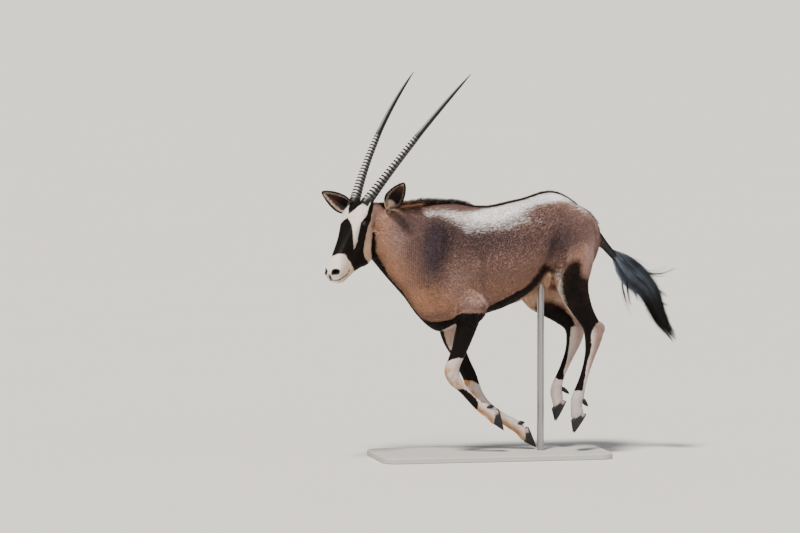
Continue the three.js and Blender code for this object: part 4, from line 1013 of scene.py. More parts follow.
# signed distance into a line of the photo's view that is half wide to both sides
def onStroke(name, seen, half):
    return half - lineGap(bodyMarks[name], *seen, photoView["cell"])


# a field where the mask holds, and well outside elsewhere
def only(mask, field):
    return np.where(mask, field, -0.1)


# all that the marks at a point depend on; the near view has the far side mirrored to the near
class Spots:
    def __init__(self, points, normals, place):
        self.points, self.normals, self.place = points, normals, place
        self.x, self.y, self.z = points.T
        self.part = place["part"]
        self.trunk, self.skull = self.part == 0, self.part == 1
        self.fore = (self.part == 2) | (self.part == 3)
        self.behind = self.part > 3
        self.middle = np.where(self.trunk, place["centre"][:, 1], 0)
        self.seen = photoPlace(self.x, self.y, self.z)
        self.nearSeen = photoPlace(self.x, self.middle - np.abs(self.y - self.middle), self.z)
        self.outer = ease(-0.15, 0.30, normals[:, 1] * np.sign(self.y))
        self.along, self.out, self.left = headCoords(points)
        low = np.maximum(-self.out - 0.008, 0)
        self.roundTop = np.abs(self.left + 0.012) + low
        self.roundSide = np.abs(self.left) + low
        self.belly = onMark(bodyMarks["belly"], self.nearSeen)
        self.thighNear = onMark(bodyMarks["thigh"], self.nearSeen)
        thigh = np.where(self.y < 0, self.thighNear, inside(farThigh, self.x, self.z))
        here = (self.x > 0.15) & (np.abs(self.y) > 0.03) & (self.z < 0.95)
        self.thigh = only(here, thigh - 0.25 * (1 - self.outer))


# black and white of the trunk: throat, flank band, spine, thigh; belly and cheek tuft
def trunkFields(at):
    spine = 0.022 - np.abs(at.y - at.middle) + 0.010 * ease(0.40, 0.48, at.x)
    spine = only((np.abs(at.place["angle"] - np.pi / 2) < 0.7) & (at.x > -0.12), spine)
    throat, band = (onMark(bodyMarks[name], at.nearSeen) for name in ("throat", "band"))
    tuft = only(at.y < at.middle, onStroke("cheekTuft", at.nearSeen, 0.0030))
    black = only(at.trunk, np.maximum.reduce([throat, band, spine, at.thigh]))
    return black, only(at.trunk, np.maximum(at.belly, tuft))


# black, white and the share of the rear on the legs; turn is 0 in front and +-180 degrees behind
def legFields(at, black, white):
    rear = np.zeros(len(black))
    rel = at.points - at.place["centre"]
    ahead = -(rel * at.place["up"]).sum(1)
    for k, name in enumerate(legRows):
        here = at.part == k + 2
        outSide = np.sign(legRows[name][0][1])
        side = (rel * at.place["side"]).sum(1) * outSide
        turn = np.abs(np.arctan2(side, ahead))
        black = np.where(here, -0.1, black)
        for outline in legMarks[name]:
            black = np.where(here, np.maximum(black, onMark(outline, at.seen)), black)
        if name.startswith("fore"):
            inner = np.minimum(-side - 0.004, at.z - 0.484 - 0.08 * (outSide < 0))
            inner = np.minimum(inner, (turn - 0.45) * at.place["radius"])
            seen = np.where(inner > -black, np.minimum(black, -inner), black)
            seen = np.minimum(seen, 0.668 - at.z)
            pale = np.maximum(np.minimum(0.49 - at.z, 0.1), np.minimum(inner, 0.05))
        else:
            far = name.endswith("right")
            upper = at.thigh if far else onMark(bodyMarks["thigh"], at.seen)
            upper = upper - 0.25 * (1 - at.outer) * ease(0.58, 0.66, at.z)
            seen = np.maximum(black, only(at.z > (0.55 if far else 0), upper))
            inner = np.minimum((-side - 0.008) * 1.5, 0.80 - at.z)
            pale = np.maximum(0.60 - at.z, np.minimum(inner, at.z - 0.6))
        black = np.where(here, seen, black)
        white = np.where(here, pale, white)
        rear = np.where(here, ease(0.9, 2.2, turn), rear)
    dock = 0.030 - np.abs(at.y - at.place["centre"][:, 1])
    return np.where(at.part == 6, dock, black), white, rear


# black of the face: blaze, stripe, diamond, throat, under the jaw, nostrils, nose pad, mouth
def faceBlack(at):
    a, o, s = at.along, at.out, at.left
    hole, gap = noseFields(a, o, s)
    return np.maximum.reduce([
        inside(faceMarks["blaze"], a, at.roundTop), inside(faceMarks["stripe"], a, at.roundSide),
        inside(faceMarks["diamond"], a, at.roundTop),
        only((s > 0) & (a > 0.05), onMark(bodyMarks["throat"], at.seen)),
        only(o < -0.10, np.minimum(0.012 - np.abs(s), 0.215 - a)), (1.35 - hole) * 0.008,
        only(o > -0.060, np.minimum(0.0036 - np.abs(s) * 0.55, a - 0.374)), only(a > 0.298, 0.0026 - gap),
    ])


# how warm the coat or its white is; on the trunk partly painted warm light bounced up from below
def warmth(at, rear):
    a = at.along
    cheek = np.minimum(at.roundSide - 0.090, 0.235 - a)
    warm = np.where(at.trunk, shaded("warm", at.nearSeen), 0)
    warm = np.where(at.skull, 0.6 + 0.3 * ease(0.0, 0.02, cheek) * ease(0.25, 0.20, a), warm)
    warm = np.where(at.skull & (at.roundSide < 0.085), 0, warm)
    chin = ease(0.30, 0.33, a) * ease(-0.084, -0.100, at.out) * at.skull
    warm = np.where(at.part > 1, 0.12 + 0.2 * rear, np.maximum(warm, chin * 0.8))
    full = (at.part == 3) & (at.z > 0.5) | at.trunk & (at.belly > -0.01)
    full = full | at.behind & (at.z > 0.61) & (at.outer < 0.5)
    return np.where(full, 0.9, warm)


# signed distances, in metres, to the black and white of the coat, and soft masks for the rest, some of them
# painted sheen and shade
def markings(points, normals, place):
    at = Spots(points, normals, place)
    x, y, z, part, trunk, skull = at.x, at.y, at.z, at.part, at.trunk, at.skull
    black, white = trunkFields(at)
    black, white, rear = legFields(at, black, white)
    faceWhite = np.minimum(0.05, np.interp(at.along, *paleEdge) - at.roundSide)
    black = np.where(skull, faceBlack(at), black)
    white = np.where(skull, faceWhite, white)
    poll = only((trunk | skull) & (x < -0.35), onStroke("pollTuft", at.nearSeen, 0.0065))
    black, white = np.minimum(black, -poll), np.maximum(white, poll)
    # the pale edge before the near thigh's black
    across, down = (v / photoView["cell"] for v in at.nearSeen)
    strip = np.minimum(at.thighNear + 0.034, 0.855 - z)
    strip = only((y < -0.02) & (x > 0.24) & (across < 577.5) & (z > 0.57), strip)
    white = np.where((part == 4) | trunk, np.maximum(white, strip), white)
    # shades
    body = trunk | at.behind & (z > 0.64)
    blush = np.where(skull, 0.5 * ease(0.02, -0.01, faceWhite), shaded("blush", at.nearSeen))
    # on the hind legs' rear strips the pinkish brown also stands for painted shade on the white
    blush = np.where(at.behind & (z < 0.62), 0.9 * rear * ease(0.32, 0.45, z), blush)
    # painted shade on the white of the legs: the fore legs all over, the near hind and the far hind's back
    # low down
    legShade = np.where(part == 4, 0.75 * ease(0.36, 0.30, z), 0) + np.where(at.fore, 0.35, 0)
    legShade = legShade + np.where(part == 5, 0.45 * ease(0.34, 0.30, z) * ease(-0.3, 0.5, normals[:, 0]), 0)
    # where the neck's wrinkles lie; the paint shades their creases
    wrinkle = np.where(trunk, ease(398, 412, across) * ease(440, 424, across), 0)
    wrinkle = wrinkle * ease(232, 250, down) * ease(296, 282, down)
    fray = np.where(trunk | (z > 0.60), ease(0.62, 0.70, z) * ease(0.1, 0.2, x), 0)
    fray = fray * (1 + 0.9 * ease(0.20, 0.28, x) * (y < 0) + 1.1 * (part == 5))
    # dust and painted warm light bounced from the ground on the undersides of the fore legs, tan behind the
    # hind ones
    knee = ease(0.31, 0.34, z)
    under = ease(-0.25 - 0.4 * knee, 0.55 - 0.3 * knee, -normals[:, 0] * 0.85 - normals[:, 2] * 0.55)
    tan = 0.85 * (part == 4) + 0.4 * (part == 5)
    return {
        "blackField": black, "whiteField": white, "warmth": warmth(at, rear),
        "paintedSheen": np.where(body, shaded("paintedSheen", at.nearSeen), 0),
        "greyAndShade": np.where(body, np.minimum(shaded("grey", at.nearSeen), 1.1), 0),
        "blush": blush, "flecks": np.where(trunk, shaded("flecks", at.nearSeen), 0),
        "dustAndBounce": np.where(at.fore, ease(0.45, 0.39, z) * under, 0), "legShade": legShade, "fray": fray,
        "wrinkle": wrinkle, "tan": tan * rear * ease(0.34, 0.46, z),
    }


skinPlace = locate(skinPoints)
giveValues(skinMesh, markings(skinPoints, skinNormals, skinPlace))

# tones of the coat; among them the near white sheen is painted highlight, the lilac grey of the legs is
# painted shade, the dark grey partly painted shade, the deep orange of the undersides partly painted bounce
# light
tones = {
    "fawn": (0.262, 0.150, 0.118), "grey": (0.055, 0.037, 0.046), "warm": (0.430, 0.214, 0.120),
    "blush": (0.46, 0.302, 0.275), "paintedSheen": (0.97, 0.94, 0.95), "white": (0.82, 0.73, 0.67),
    "cream": (0.54, 0.29, 0.15), "black": (0.0024, 0.0013, 0.0011), "brown": (0.026, 0.0090, 0.0035),
    "legShade": (0.43, 0.385, 0.41), "dustAndBounce": (0.50, 0.22, 0.06), "ink": (0.010, 0.007, 0.008),
}


# the coat's paint: fawn with mottling, white and black by their distance fields, streaks of hair, painted
# sheen and painted shade from the soft masks
def coatPaint(name, tuft):
    paint = Paint(name, Roughness=0.75, Specular_IOR_Level=0.12)
    fray, warm, blush, blackField = (paint.value(key) for key in ("fray", "warmth", "blush", "blackField"))
    mottle = paint.noise(7, detail=4.0, rough=0.6)
    patch = paint.noise(24, detail=4.0, rough=0.62)
    along = paint.noise(1, (90, 560, 560))
    streak = (along + paint.noise(1, (560, 560, 90))) * 0.5
    # the two masks, with ragged edges
    ragged = (paint.noise(60, detail=3.0) - 0.5) * 0.009 + (paint.noise(420, detail=1.0) - 0.5) * 0.004
    ragged = ragged * (fray + 1.0)
    black = (blackField + ragged) / (fray * 0.006 + 0.0018) * 0.5 + 0.5
    black = black.atLeast(0.0).atMost(1.0)
    white = paint.step(paint.value("whiteField") + ragged * 2.0, -0.008, 0.008)
    # the coloured coat
    # darker grey partly as the coat's own tone, partly as painted shade
    greyAndShade = paint.value("greyAndShade") + (mottle - 0.5) * 0.35
    base = paint.blend(greyAndShade.atMost(0.97).atLeast(0.0), tones["fawn"], tones["grey"])
    # warmer partly as the coat's tan, partly as painted warm bounce light
    base = paint.blend((warm * (mottle * 0.5 + 0.6)).atMost(1.0), base, tones["warm"])
    base = paint.blend((blush * (patch * 0.5 + 0.7)).atMost(1.0), base, tones["blush"])
    flecks = paint.step(paint.noise(120, detail=1.0), 0.63, 0.70) * paint.value("flecks")
    base = paint.blend(flecks.atMost(0.9), base, tones["ink"])
    # a painted sheen along the back: light streaks of hair where its ovals are
    grain = paint.noise(1, (34, 150, 170), detail=4.0, rough=0.7) * 0.6 + along * 0.4
    thick = paint.value("paintedSheen") + (patch - 0.5) * 0.7
    paintedSheen = paint.step(grain + (thick - 1.0) * 0.34, 0.36, 0.66)
    paintedSheen = paintedSheen * paint.step(paint.value("paintedSheen"), 0.02, 0.45) * 0.96
    base = paint.blend(paintedSheen, base, tones["paintedSheen"])
    # the white, then dust with painted bounce light, then the black with its brown fringe
    pale = paint.blend(warm * 0.85, tones["white"], tones["cream"])
    pale = paint.blend(paint.step(patch, 0.45, 0.75) * 0.25, pale, tones["cream"])
    # painted shade over the white of the legs
    pale = paint.blend(paint.value("legShade"), pale, tones["legShade"])
    # pinkish brown over the white; on the hind legs' rear strips it is partly painted shade
    pale = paint.blend((blush * (patch * 0.6 + 0.5)).atMost(0.9), pale, tones["blush"])
    pale = paint.blend(paint.value("tan") * (patch * 0.9 + 0.4), pale, tones["fawn"])
    base = paint.blend(white, base, pale)
    base = paint.blend(paint.value("dustAndBounce") * paint.step(patch, 0.28, 0.56) * 0.9, base, tones["dustAndBounce"])
    browned = paint.step(mottle, 0.36, 0.66) * (fray * 0.4 + 0.15)
    browned = browned.atLeast(paint.step(blackField, 0.022, 0.002) * fray)
    base = paint.blend(black, base, paint.blend(browned, tones["black"], tones["brown"]))
    # streaks of hair; the bare skin a little darker as painted shade between the tufts, the tufts lighter
    # under the painted sheen
    shade = streak * 0.5 + 0.66
    if tuft:
        shade = streak * 0.35 + paint.value("vary") * 0.14 + 0.755 + paintedSheen * 0.14
    base = paint.darkened(base, shade)
    # painted shade in the creases of the neck's wrinkles, which also bump the normal
    creases = paint.bands(paint.place(), 34.0, 5.0, 3.0, 1) * paint.value("wrinkle")
    base = paint.blend(creases * 0.5, base, tones["grey"])
    relief = paint.bump(streak - creases * 1.6, 0.5, 0.002)
    return paint.feed(Base_Color=base, Roughness=0.72 - black * 0.20, Normal=relief)


tuftPaint = coatPaint("coatTufts", True)
skinNodes = ["head", "neck", "torso", "hindquarters", "tail"]
for leg in legRows:
    upper = "forearm" if leg.startswith("fore") else "gaskin"
    skinNodes += [leg + "_" + upper, leg + "_cannon", leg + "_pastern"]
addPiece("skin", skinMesh, coatPaint("coatSkin", False), skinNodes)
print("skin marked")

# short coat: flat tapered tufts rooted in the skin, in millimetres
fur = {
    "seed": 7, "sunk": 1.0, "ridge": 0.12, "sway": 0.12, "least": 0.7, "most": 1.25,
    "patch": 0.003, "hornRoot": [-14, 36.5],
}
furKinds = {
    "trunk": {"count": 138000, "perPiece": 48000, "shares": (0.0,), "long": 12.5, "wide": 3.9,
              "high": 2.1, "drift": 0.08, "slot": "body_coat"},
    "legs": {"count": 26000, "perPiece": 19500, "shares": (0.0, 0.5), "long": 8.0, "wide": 1.9,
             "high": 1.3, "drift": 0.14, "slot": "leg_coat"},
    "head": {"count": 19000, "perPiece": 19500, "shares": (0.0, 0.5), "long": 5.0, "wide": 1.3,
             "high": 0.8, "drift": 0.12, "slot": "face_coat"},
}


# places spread over the skin's triangles by area times a weight, with normals there
def scatter(count, weight, rng):
    skinMesh.calc_loop_triangles()
    corners = readRows(skinMesh.loop_triangles, "vertices", 3, np.int32)
    a, b, c = (skinPoints[corners[:, k]] for k in range(3))
    area = np.linalg.norm(np.cross(b - a, c - a), axis=1) * weight[corners].mean(1)
    pick = rng.choice(len(corners), count, p=area / area.sum())
    u, v = rng.random((2, count))
    over = u + v > 1
    u, v = np.where(over, 1 - u, u)[:, None], np.where(over, 1 - v, v)[:, None]
    n0, n1, n2 = (skinNormals[corners[pick, k]] for k in range(3))
    spots = a[pick] * (1 - u - v) + b[pick] * u + c[pick] * v
    return spots, unit(n0 * (1 - u - v) + n1 * u + n2 * v)


# faces of a three-sided tube over some rings, with its first end closed
def tubeFaces(rings):
    r, k = np.arange(rings - 1)[:, None], np.arange(3)[None, :]
    i, j = (3 * r + k).ravel(), (3 * r + (k + 1) % 3).ravel()
    sides = np.stack([i, i + 3, j, j, i + 3, j + 3], 1).reshape(-1, 3)
    return np.vstack([[[0, 1, 2]], sides])


# one shape's faces, turned outwards and repeated for every size points
def everyFace(points, faces, size):
    faces = facedOut(points[:size] - points[:size].mean(0), faces)
    return (faces[None] + np.arange(0, len(points), size)[:, None, None]).reshape(-1, 3)


# blades: three-cornered rings along root + way * length * t + normal * height * (1 - (1 - t)^2)
def blades(roots, normals, ways, long, wide, high, sway, shares=(0.0, 0.5)):
    side = np.cross(normals, ways)
    long, wide, high, sway = (column(v) for v in (long, wide, high, sway))
    sunk = fur["sunk"] * mm
    rings = []
    for t in shares:
        lift = (high + sunk) * (1 - (1 - t) ** 2) - sunk
        mid = roots + ways * (long * t) + normals * lift + side * (sway * t * t)
        half = wide * 0.5 * (1 - 0.75 * t ** 1.5)
        rings += [mid + side * half, mid + normals * half * fur["ridge"], mid - side * half]
    points = np.stack(rings + [roots + ways * long + normals * high + side * sway], 1).reshape(-1, 3)
    size = 3 * len(shares) + 1
    point = [[size - 4 + k, size - 1, size - 4 + (k + 1) % 3] for k in range(3)]
    return points, everyFace(points, np.vstack([tubeFaces(len(shares)), point]), size), size


# each blade's patch on the unwrap: its root's place, spread over about 0.003
def patchMap(mesh, faces, spots, size):
    wide = fur["patch"]
    local = np.stack([np.linspace(0, wide, size), np.tile([0, wide / 2, wide], size)[:size]], 1)
    uv = (np.clip(spots, 0.002, 0.996)[:, None, :] + local[None]).reshape(-1, 2)
    layer = mesh.uv_layers.new(name="OFBake")
    layer.data.foreach_set("uv", uv[faces.ravel()].astype(np.float32).ravel())


# the way the hair lies, hanging a little on the flanks, laid flat on the skin
def hairWay(normals, place):
    way = place["way"].copy()
    trunk = place["part"] == 0
    way[trunk] -= place["up"][trunk] * 0.45 * ease(0.2, 0.8, np.abs(normals[trunk, 1]))[:, None]
    way -= normals * (way * normals).sum(1)[:, None]
    return unit(way)


# which places keep tufts: on the head not in the eyes, nostrils, mouth or horn roots
def furWeight(points, place, kind):
    part = place["part"]
    if kind == "trunk":
        return (part == 0) * (1 - 0.25 * ease(-0.1, 0.1, points[:, 0]))
    if kind == "legs":
        return (part > 1).astype(float)
    a, o, s = headCoords(points)
    weight = (part == 1).astype(float)
    for way in (-1, 1):
        reach, ahead = slitReach(points, way, 0.62, 0.7)
        weight *= np.where(ahead > 0, ease(0.95, 1.15, reach), 1)
    hole = np.hypot((a - nostril["along"] * mm) / 0.014, (o - nostril["out"] * mm) / 0.010)
    weight *= np.where(np.abs(s) > 0.012, ease(0.9, 1.2, hole), 1)
    weight *= ease(0.004, 0.007, lineGap(mouth["line"], a, o))
    root = np.hypot(a - fur["hornRoot"][0] * mm, np.abs(s) - fur["hornRoot"][1] * mm)
    return weight * ease(0.024, 0.028, root)


# longer tufts high on the legs, shorter ones on the muzzle
def furScale(points, kind):
    if kind == "legs":
        return 0.8 + 0.5 * ease(0.45, 0.65, points[:, 2])
    if kind == "head":
        return 1.15 - 0.5 * ease(0.25, 0.33, headCoords(points)[0])
    return 1.0


# the tufts of trunk, legs and head, each kind cut into pieces along the body
def addFur():
    rng = np.random.default_rng(fur["seed"])
    for kind, table in furKinds.items():
        count = table["count"] // 1
        spots, normals = scatter(count, furWeight(skinPoints, skinPlace, kind), rng)
        place = locate(spots)
        values = markings(spots, normals, place)
        way = hairWay(normals, place)
        drift = rng.normal(0, table["drift"], count)[:, None]
        way = unit(way + np.cross(normals, way) * drift)
        scale = rng.uniform(fur["least"], fur["most"], count) * furScale(spots, kind)
        long, wide, high = (table[key] * mm * scale for key in ("long", "wide", "high"))
        sway = rng.normal(0, fur["sway"], count) * long
        order = np.argsort(place["part"] * 10.0 + place["share"] + (spots[:, 1] > 0) * 4.0, kind="stable")
        pieces = int(np.ceil(count / table["perPiece"]))
        for number, chosen in enumerate(np.array_split(order, pieces)):
            bits = (v[chosen] for v in (spots, normals, way, long, wide, high, sway))
            points, faces, size = blades(*bits, table["shares"])
            mesh = makeMesh("fur_%s_%d" % (kind, number + 1), points, faces)
            patchMap(mesh, faces, unwrap({key: v[chosen] for key, v in place.items()}), size)
            carried = {key: np.repeat(value[chosen], size) for key, value in values.items()}
            carried["vary"] = np.repeat(rng.uniform(0, 1, len(chosen)), size)
            giveValues(mesh, carried)
            addPiece(mesh.name, mesh, tuftPaint)
        print("fur on the", kind, count)


addFur()

horn = {
    "along": -14, "out": -22, "side": 36.5, "sink": 26, "back": 777, "drop": 150, "spread": 132,
    "bowFront": 24.5, "bowSide": 16, "ridges": 23, "ridgeStart": -0.0148, "ridgedShare": 0.5,
    "ridgeHeight": 2.6, "ringEnd": 0.55, "stations": 420, "sides": 40, "flat": 0.94, "lit": 0.75,
    "radii": [[0, 25.5], [0.1, 21.7], [0.25, 18], [0.42, 15.6], [0.52, 12.6], [0.67, 11],
              [0.8, 8.8], [0.9, 6.2], [0.97, 3.4], [1, 1.8]],
}


# a horn's middle line, bowed by 4 t (1 - t), with the ways across and to the front
def hornLine(t, way):
    base = headPoint(horn["along"], horn["out"], way * horn["side"])
    ahead, out = horn["along"] - horn["back"], horn["out"] - horn["drop"]
    run = headPoint(ahead, out, way * (horn["side"] + horn["spread"])) - base
    direction = unit(run)
    across = unit(leftWay - direction * (leftWay @ direction))
    front = np.cross(across, direction)
    front = front if front @ outWay > 0 else -front
    bow = front * horn["bowFront"] + across * way * horn["bowSide"]
    return base + run * t[:, None] + bow * mm * np.maximum(4 * t * (1 - t), 0)[:, None], across, front


# a horn: its radius table plus rings that rise slowly and fall steeply, stronger in front
def addHorn(name, way):
    t = np.concatenate([np.linspace(-horn["sink"] / horn["back"], 0.02, 6)[:-1],
                        np.linspace(0.02, horn["ringEnd"], horn["stations"]),
                        np.linspace(horn["ringEnd"] + 0.005, 1, 60)])
    centre, across, front = hornLine(t, way)
    angle = turnSteps(horn["sides"])[None, :]
    radius = np.interp(t, *np.array(horn["radii"]).T)
    t = t[:, None]
    share = horn["ridgedShare"]
    ringed = ease(-0.03, 0.0, t) * ease(share + 0.012, share - 0.05, t)
    strength = horn["ridgeHeight"] * (1 - 0.45 * np.clip(t / share, 0, 1)) * ringed
    slant = 0.16 * np.sin(angle + 0.6) + 0.05 * np.sin(3 * angle + 1.0)
    phase = (t - horn["ridgeStart"]) / ((share - horn["ridgeStart"]) / horn["ridges"]) + slant
    beat = phase - np.floor(phase)
    crest = ease(0.0, 0.36, beat) * ease(1.0, 0.58, beat) * ringed
    size = (radius[:, None] + strength * (crest - 0.45) * (0.78 + 0.22 * np.sin(angle))) * mm
    size = size * (1 + 0.012 * np.sin(9 * angle + 3) * ease(0.0, 0.1, t))
    wide, tall = (size * np.cos(angle) * horn["flat"])[..., None], (size * np.sin(angle))[..., None]
    mesh = makeMesh(name + "_sheath", *loft(centre[:, None, :] + wide * across + tall * front))
    shape = size.shape
    # front: how far round each point faces towards the lit side, which the paint uses for its painted light
    giveValues(mesh, {"crest": withEnds(crest, shape, 0, 0), "reach": withEnds(t, shape, 0, 1),
                      "round": withEnds(angle * 0.02, shape, 0, 0),
                      "front": withEnds(np.sin(angle - horn["lit"]), shape, 0, 0)})
    addPiece(mesh.name, mesh, hornPaint, [name])


# horn paint: near black; crests rubbed pale only on the side towards the light, partly wear and partly
# painted light; a painted blue-grey highlight along the upper front; fine lines along, pale brown tip
def makeHornPaint():
    paint = Paint("hornKeratin", Roughness=0.42, Specular_IOR_Level=0.3)
    crest, reach = paint.value("crest"), paint.value("reach")
    spot = paint.add("CombineXYZ", {}, {"X": paint.value("round") * 900.0, "Y": reach * 26.0})
    fine = paint.add("TexNoise", {}, {"Vector": spot, "Scale": 1.0, "Detail": 3.0})
    wearAndLight = paint.step(crest + (paint.noise(160) - 0.5) * 0.5, 0.55, 1.0)
    front = paint.value("front") + (fine - 0.5) * 0.5
    # the pale crests only on the side towards the light: partly wear, partly painted light
    wearAndLight = wearAndLight * paint.step(reach, 0.53, 0.40) * (paint.step(front, -0.2, 0.45) * 0.9 + 0.1)
    base = paint.blend(fine, (0.0016, 0.0014, 0.0016), (0.013, 0.011, 0.011))
    base = paint.blend(wearAndLight * 0.95, base, (0.70, 0.67, 0.66))
    # a painted blue-grey highlight on the lit side of the outer half
    paintedHighlight = paint.step(front, 0.05, 0.75) * paint.step(reach, 0.44, 0.54)
    base = paint.blend(paintedHighlight * 0.75, base, (0.25, 0.27, 0.32))
    base = paint.blend(paint.step(reach, 0.93, 1.0) * 0.8, base, (0.22, 0.15, 0.10))
    rough = 0.36 + wearAndLight * 0.25 + fine * 0.1
    return paint.feed(Base_Color=base, Roughness=rough, Normal=paint.bump(fine + crest * 0.2, 0.35, 0.0008))


hornPaint = makeHornPaint()
for hornName, hornWay in (("horn_left", 1), ("horn_right", -1)):
    addHorn(hornName, hornWay)
print("horns done")

ear = {
    "length": 196, "half": 43, "wall": 4, "root": 20, "leafStart": 0.10, "widest": 0.46,
    "tip": 2, "rows": 60, "points": 34, "skinDepth": 1.0, "open": 118, "closing": 62,
}
earPlaces = {
    "left": {"along": -44, "out": -127, "side": 71, "aim": [147, 120, 63], "face": [0.3, -0.35, 0.85],
             "dark": 0.20},
    "right": {"along": 6, "out": -100, "side": -60, "aim": [-150, 90, 76], "face": [0.6, -0.1, 0.78],
              "dark": 0.30},
}


# half the width of the leaf at a share of its length: a sine up to the widest, then a round fall
def earHalf(t):
    rise = (t - ear["leafStart"]) / (ear["widest"] - ear["leafStart"])
    low = ear["root"] + (ear["half"] - ear["root"]) * np.sin(np.pi / 2 * np.clip(rise, -0.6, 1))
    fall = np.clip((t - ear["widest"]) / (1 - ear["widest"]), 0, 1)
    high = (ear["half"] - ear["tip"]) * np.maximum(1 - fall ** 1.7, 0) ** 0.8 + ear["tip"]
    return np.where(t < ear["widest"], low, high)


# an ear's frame: its root, the way it points, the way its cup faces and across
def earAxes(name):
    place = earPlaces[name]
    aim, face = (unit(np.array(place[key]) @ [leftWay, upWay, headingWay]) for key in ("aim", "face"))
    face = unit(face - aim * (face @ aim))
    return headPoint(place["along"], place["out"], place["side"]), aim, face, np.cross(aim, face)


# points of the cup: centre + radius * (wide sin - face cos), the angle u from -1 to 1
def earPoint(name, t, u, inset):
    root, aim, face, wide = earAxes(name)
    cup = np.radians(ear["open"] - ear["closing"] * t)
    radius = earHalf(t) / np.sin(np.minimum(cup, np.pi / 2))
    angle = (u * cup)[..., None]
    middle = root + aim * (ear["length"] * t * mm)[..., None]
    middle = middle + face * ((radius * 0.5 - 6 * t) * mm)[..., None]
    ripple = 0.0012 * np.sin(5 * u + 9 * t) * ease(0.5, 1.0, np.abs(u))
    out = (radius - inset)[..., None] * mm
    return middle + face * ripple[..., None] + out * (np.sin(angle) * wide - np.cos(angle) * face)


# a cup with two walls that meet in a thin rim
def addEar(name):
    t, u = np.broadcast_arrays(np.linspace(-0.08, 1, ear["rows"])[:, None],
                               np.linspace(-1, 1, ear["points"])[None, :])
    edge = np.clip((1 - np.abs(u)) / 0.10, 0, 1) ** 0.5
    wall = ear["wall"] * (1.1 - 0.4 * np.clip(t, 0, 1)) * (0.35 + 0.65 * edge)
    outer = earPoint(name, t, u, ear["skinDepth"])
    inner = earPoint(name, t, u * 0.985, ear["skinDepth"] + wall)
    mesh = makeMesh("ear_%s_cup" % name, *loft(np.concatenate([outer, inner[:, ::-1]], axis=1)))
    fields = {"inner": [np.zeros_like(u), np.ones_like(u)], "across": [np.abs(u), np.abs(u)[:, ::-1]],
              "along": [t, t], "deep": [t - earPlaces[name]["dark"]] * 2}
    for key, pair in fields.items():
        grid = np.concatenate(pair, 1)
        giveValues(mesh, {key: withEnds(grid, grid.shape, grid[0].mean(), grid[-1].mean())})
    addPiece(mesh.name, mesh, earPaint, ["ear_" + name])


# ear paint: cream outside, dark inside the cup, black rim and tip
def makeEarPaint(name, tuft):
    paint = Paint(name, Roughness=0.75, Specular_IOR_Level=0.2)
    across, along, deep = (paint.value(key) for key in ("across", "along", "deep"))
    fuzz = (paint.noise(90, detail=3.0) - 0.5) * 0.22
    rim = paint.step(across + fuzz * 0.2, 0.885, 0.925) * paint.step(along, 0.16, 0.30)
    rim = rim.atLeast(paint.step(along + fuzz * 0.3, 0.90, 0.96))
    hollow = paint.step(across + fuzz, 0.78, 0.56) * paint.step(deep + fuzz, 0.74, 0.56)
    hollow = hollow * paint.step(deep, -0.03, 0.06)
    outside = paint.blend(paint.noise(30, detail=3.0), (0.62, 0.43, 0.29), (0.42, 0.27, 0.18))
    dark = paint.blend(paint.step(along, 0.45, 0.72) * 0.7, (0.007, 0.004, 0.004), (0.070, 0.030, 0.016))
    base = paint.blend(paint.value("inner"), outside, paint.blend(hollow, (0.56, 0.42, 0.34), dark))
    base = paint.blend(rim, base, (0.006, 0.004, 0.004))
    if tuft:
        base = paint.darkened(base, paint.value("vary") * 0.5 + 0.72)
    return paint.feed(Base_Color=base, Normal=paint.bump(paint.noise(500), 0.4, 0.001))


earPaint = makeEarPaint("earSkin", False)
earHairPaint = makeEarPaint("earHair", True)
earFur = {"seed": 31, "wide": 1.4, "drift": 0.25, "bend": 0.8, "sway": 0.001}
earFurKinds = {
    "outside": {"count": 1500, "inset": 0.0, "long": 9.0, "high": 2.0},
    "inside": {"count": 800, "from": 0.62, "inset": 4.2, "long": 15.0, "high": 4.5},
    "edge": {"count": 900, "from": 0.9, "inset": 4.2, "long": 10.0, "high": 3.0},
}


# hair of one kind on an ear: flat outside, longer from the edges over the cup
def earTufts(name, table, rng):
    root, aim, face, wide = earAxes(name)
    count, cupped = table["count"], "from" in table
    t = rng.uniform(0.02, 0.95, count)
    u = rng.uniform(-0.97, 0.97, count)
    if cupped:
        u = np.sign(u) * rng.uniform(table["from"], 0.96, count)
    inset = ear["skinDepth"] + table["inset"]
    spot = earPoint(name, t, u, inset)
    step = earPoint(name, t + 0.01, u, inset) - spot
    over = earPoint(name, t, u + 0.01, inset) - spot
    normal = unit(np.cross(step, over))
    outward = spot - (root + aim * (ear["length"] * t * mm)[:, None] + face * 0.012)
    normal *= np.sign((normal * outward).sum(1))[:, None] * (-1 if cupped else 1)
    way = unit(step)
    if cupped:
        way = unit(way - unit(over) * np.sign(u)[:, None] * earFur["bend"])
    way = unit(way + np.cross(normal, way) * rng.normal(0, earFur["drift"], count)[:, None])
    long = table["long"] * mm * rng.uniform(0.7, 1.3, count)
    high = np.full(count, table["high"] * mm)
    return spot, normal, way, long, high, t, u, np.full(count, float(cupped))


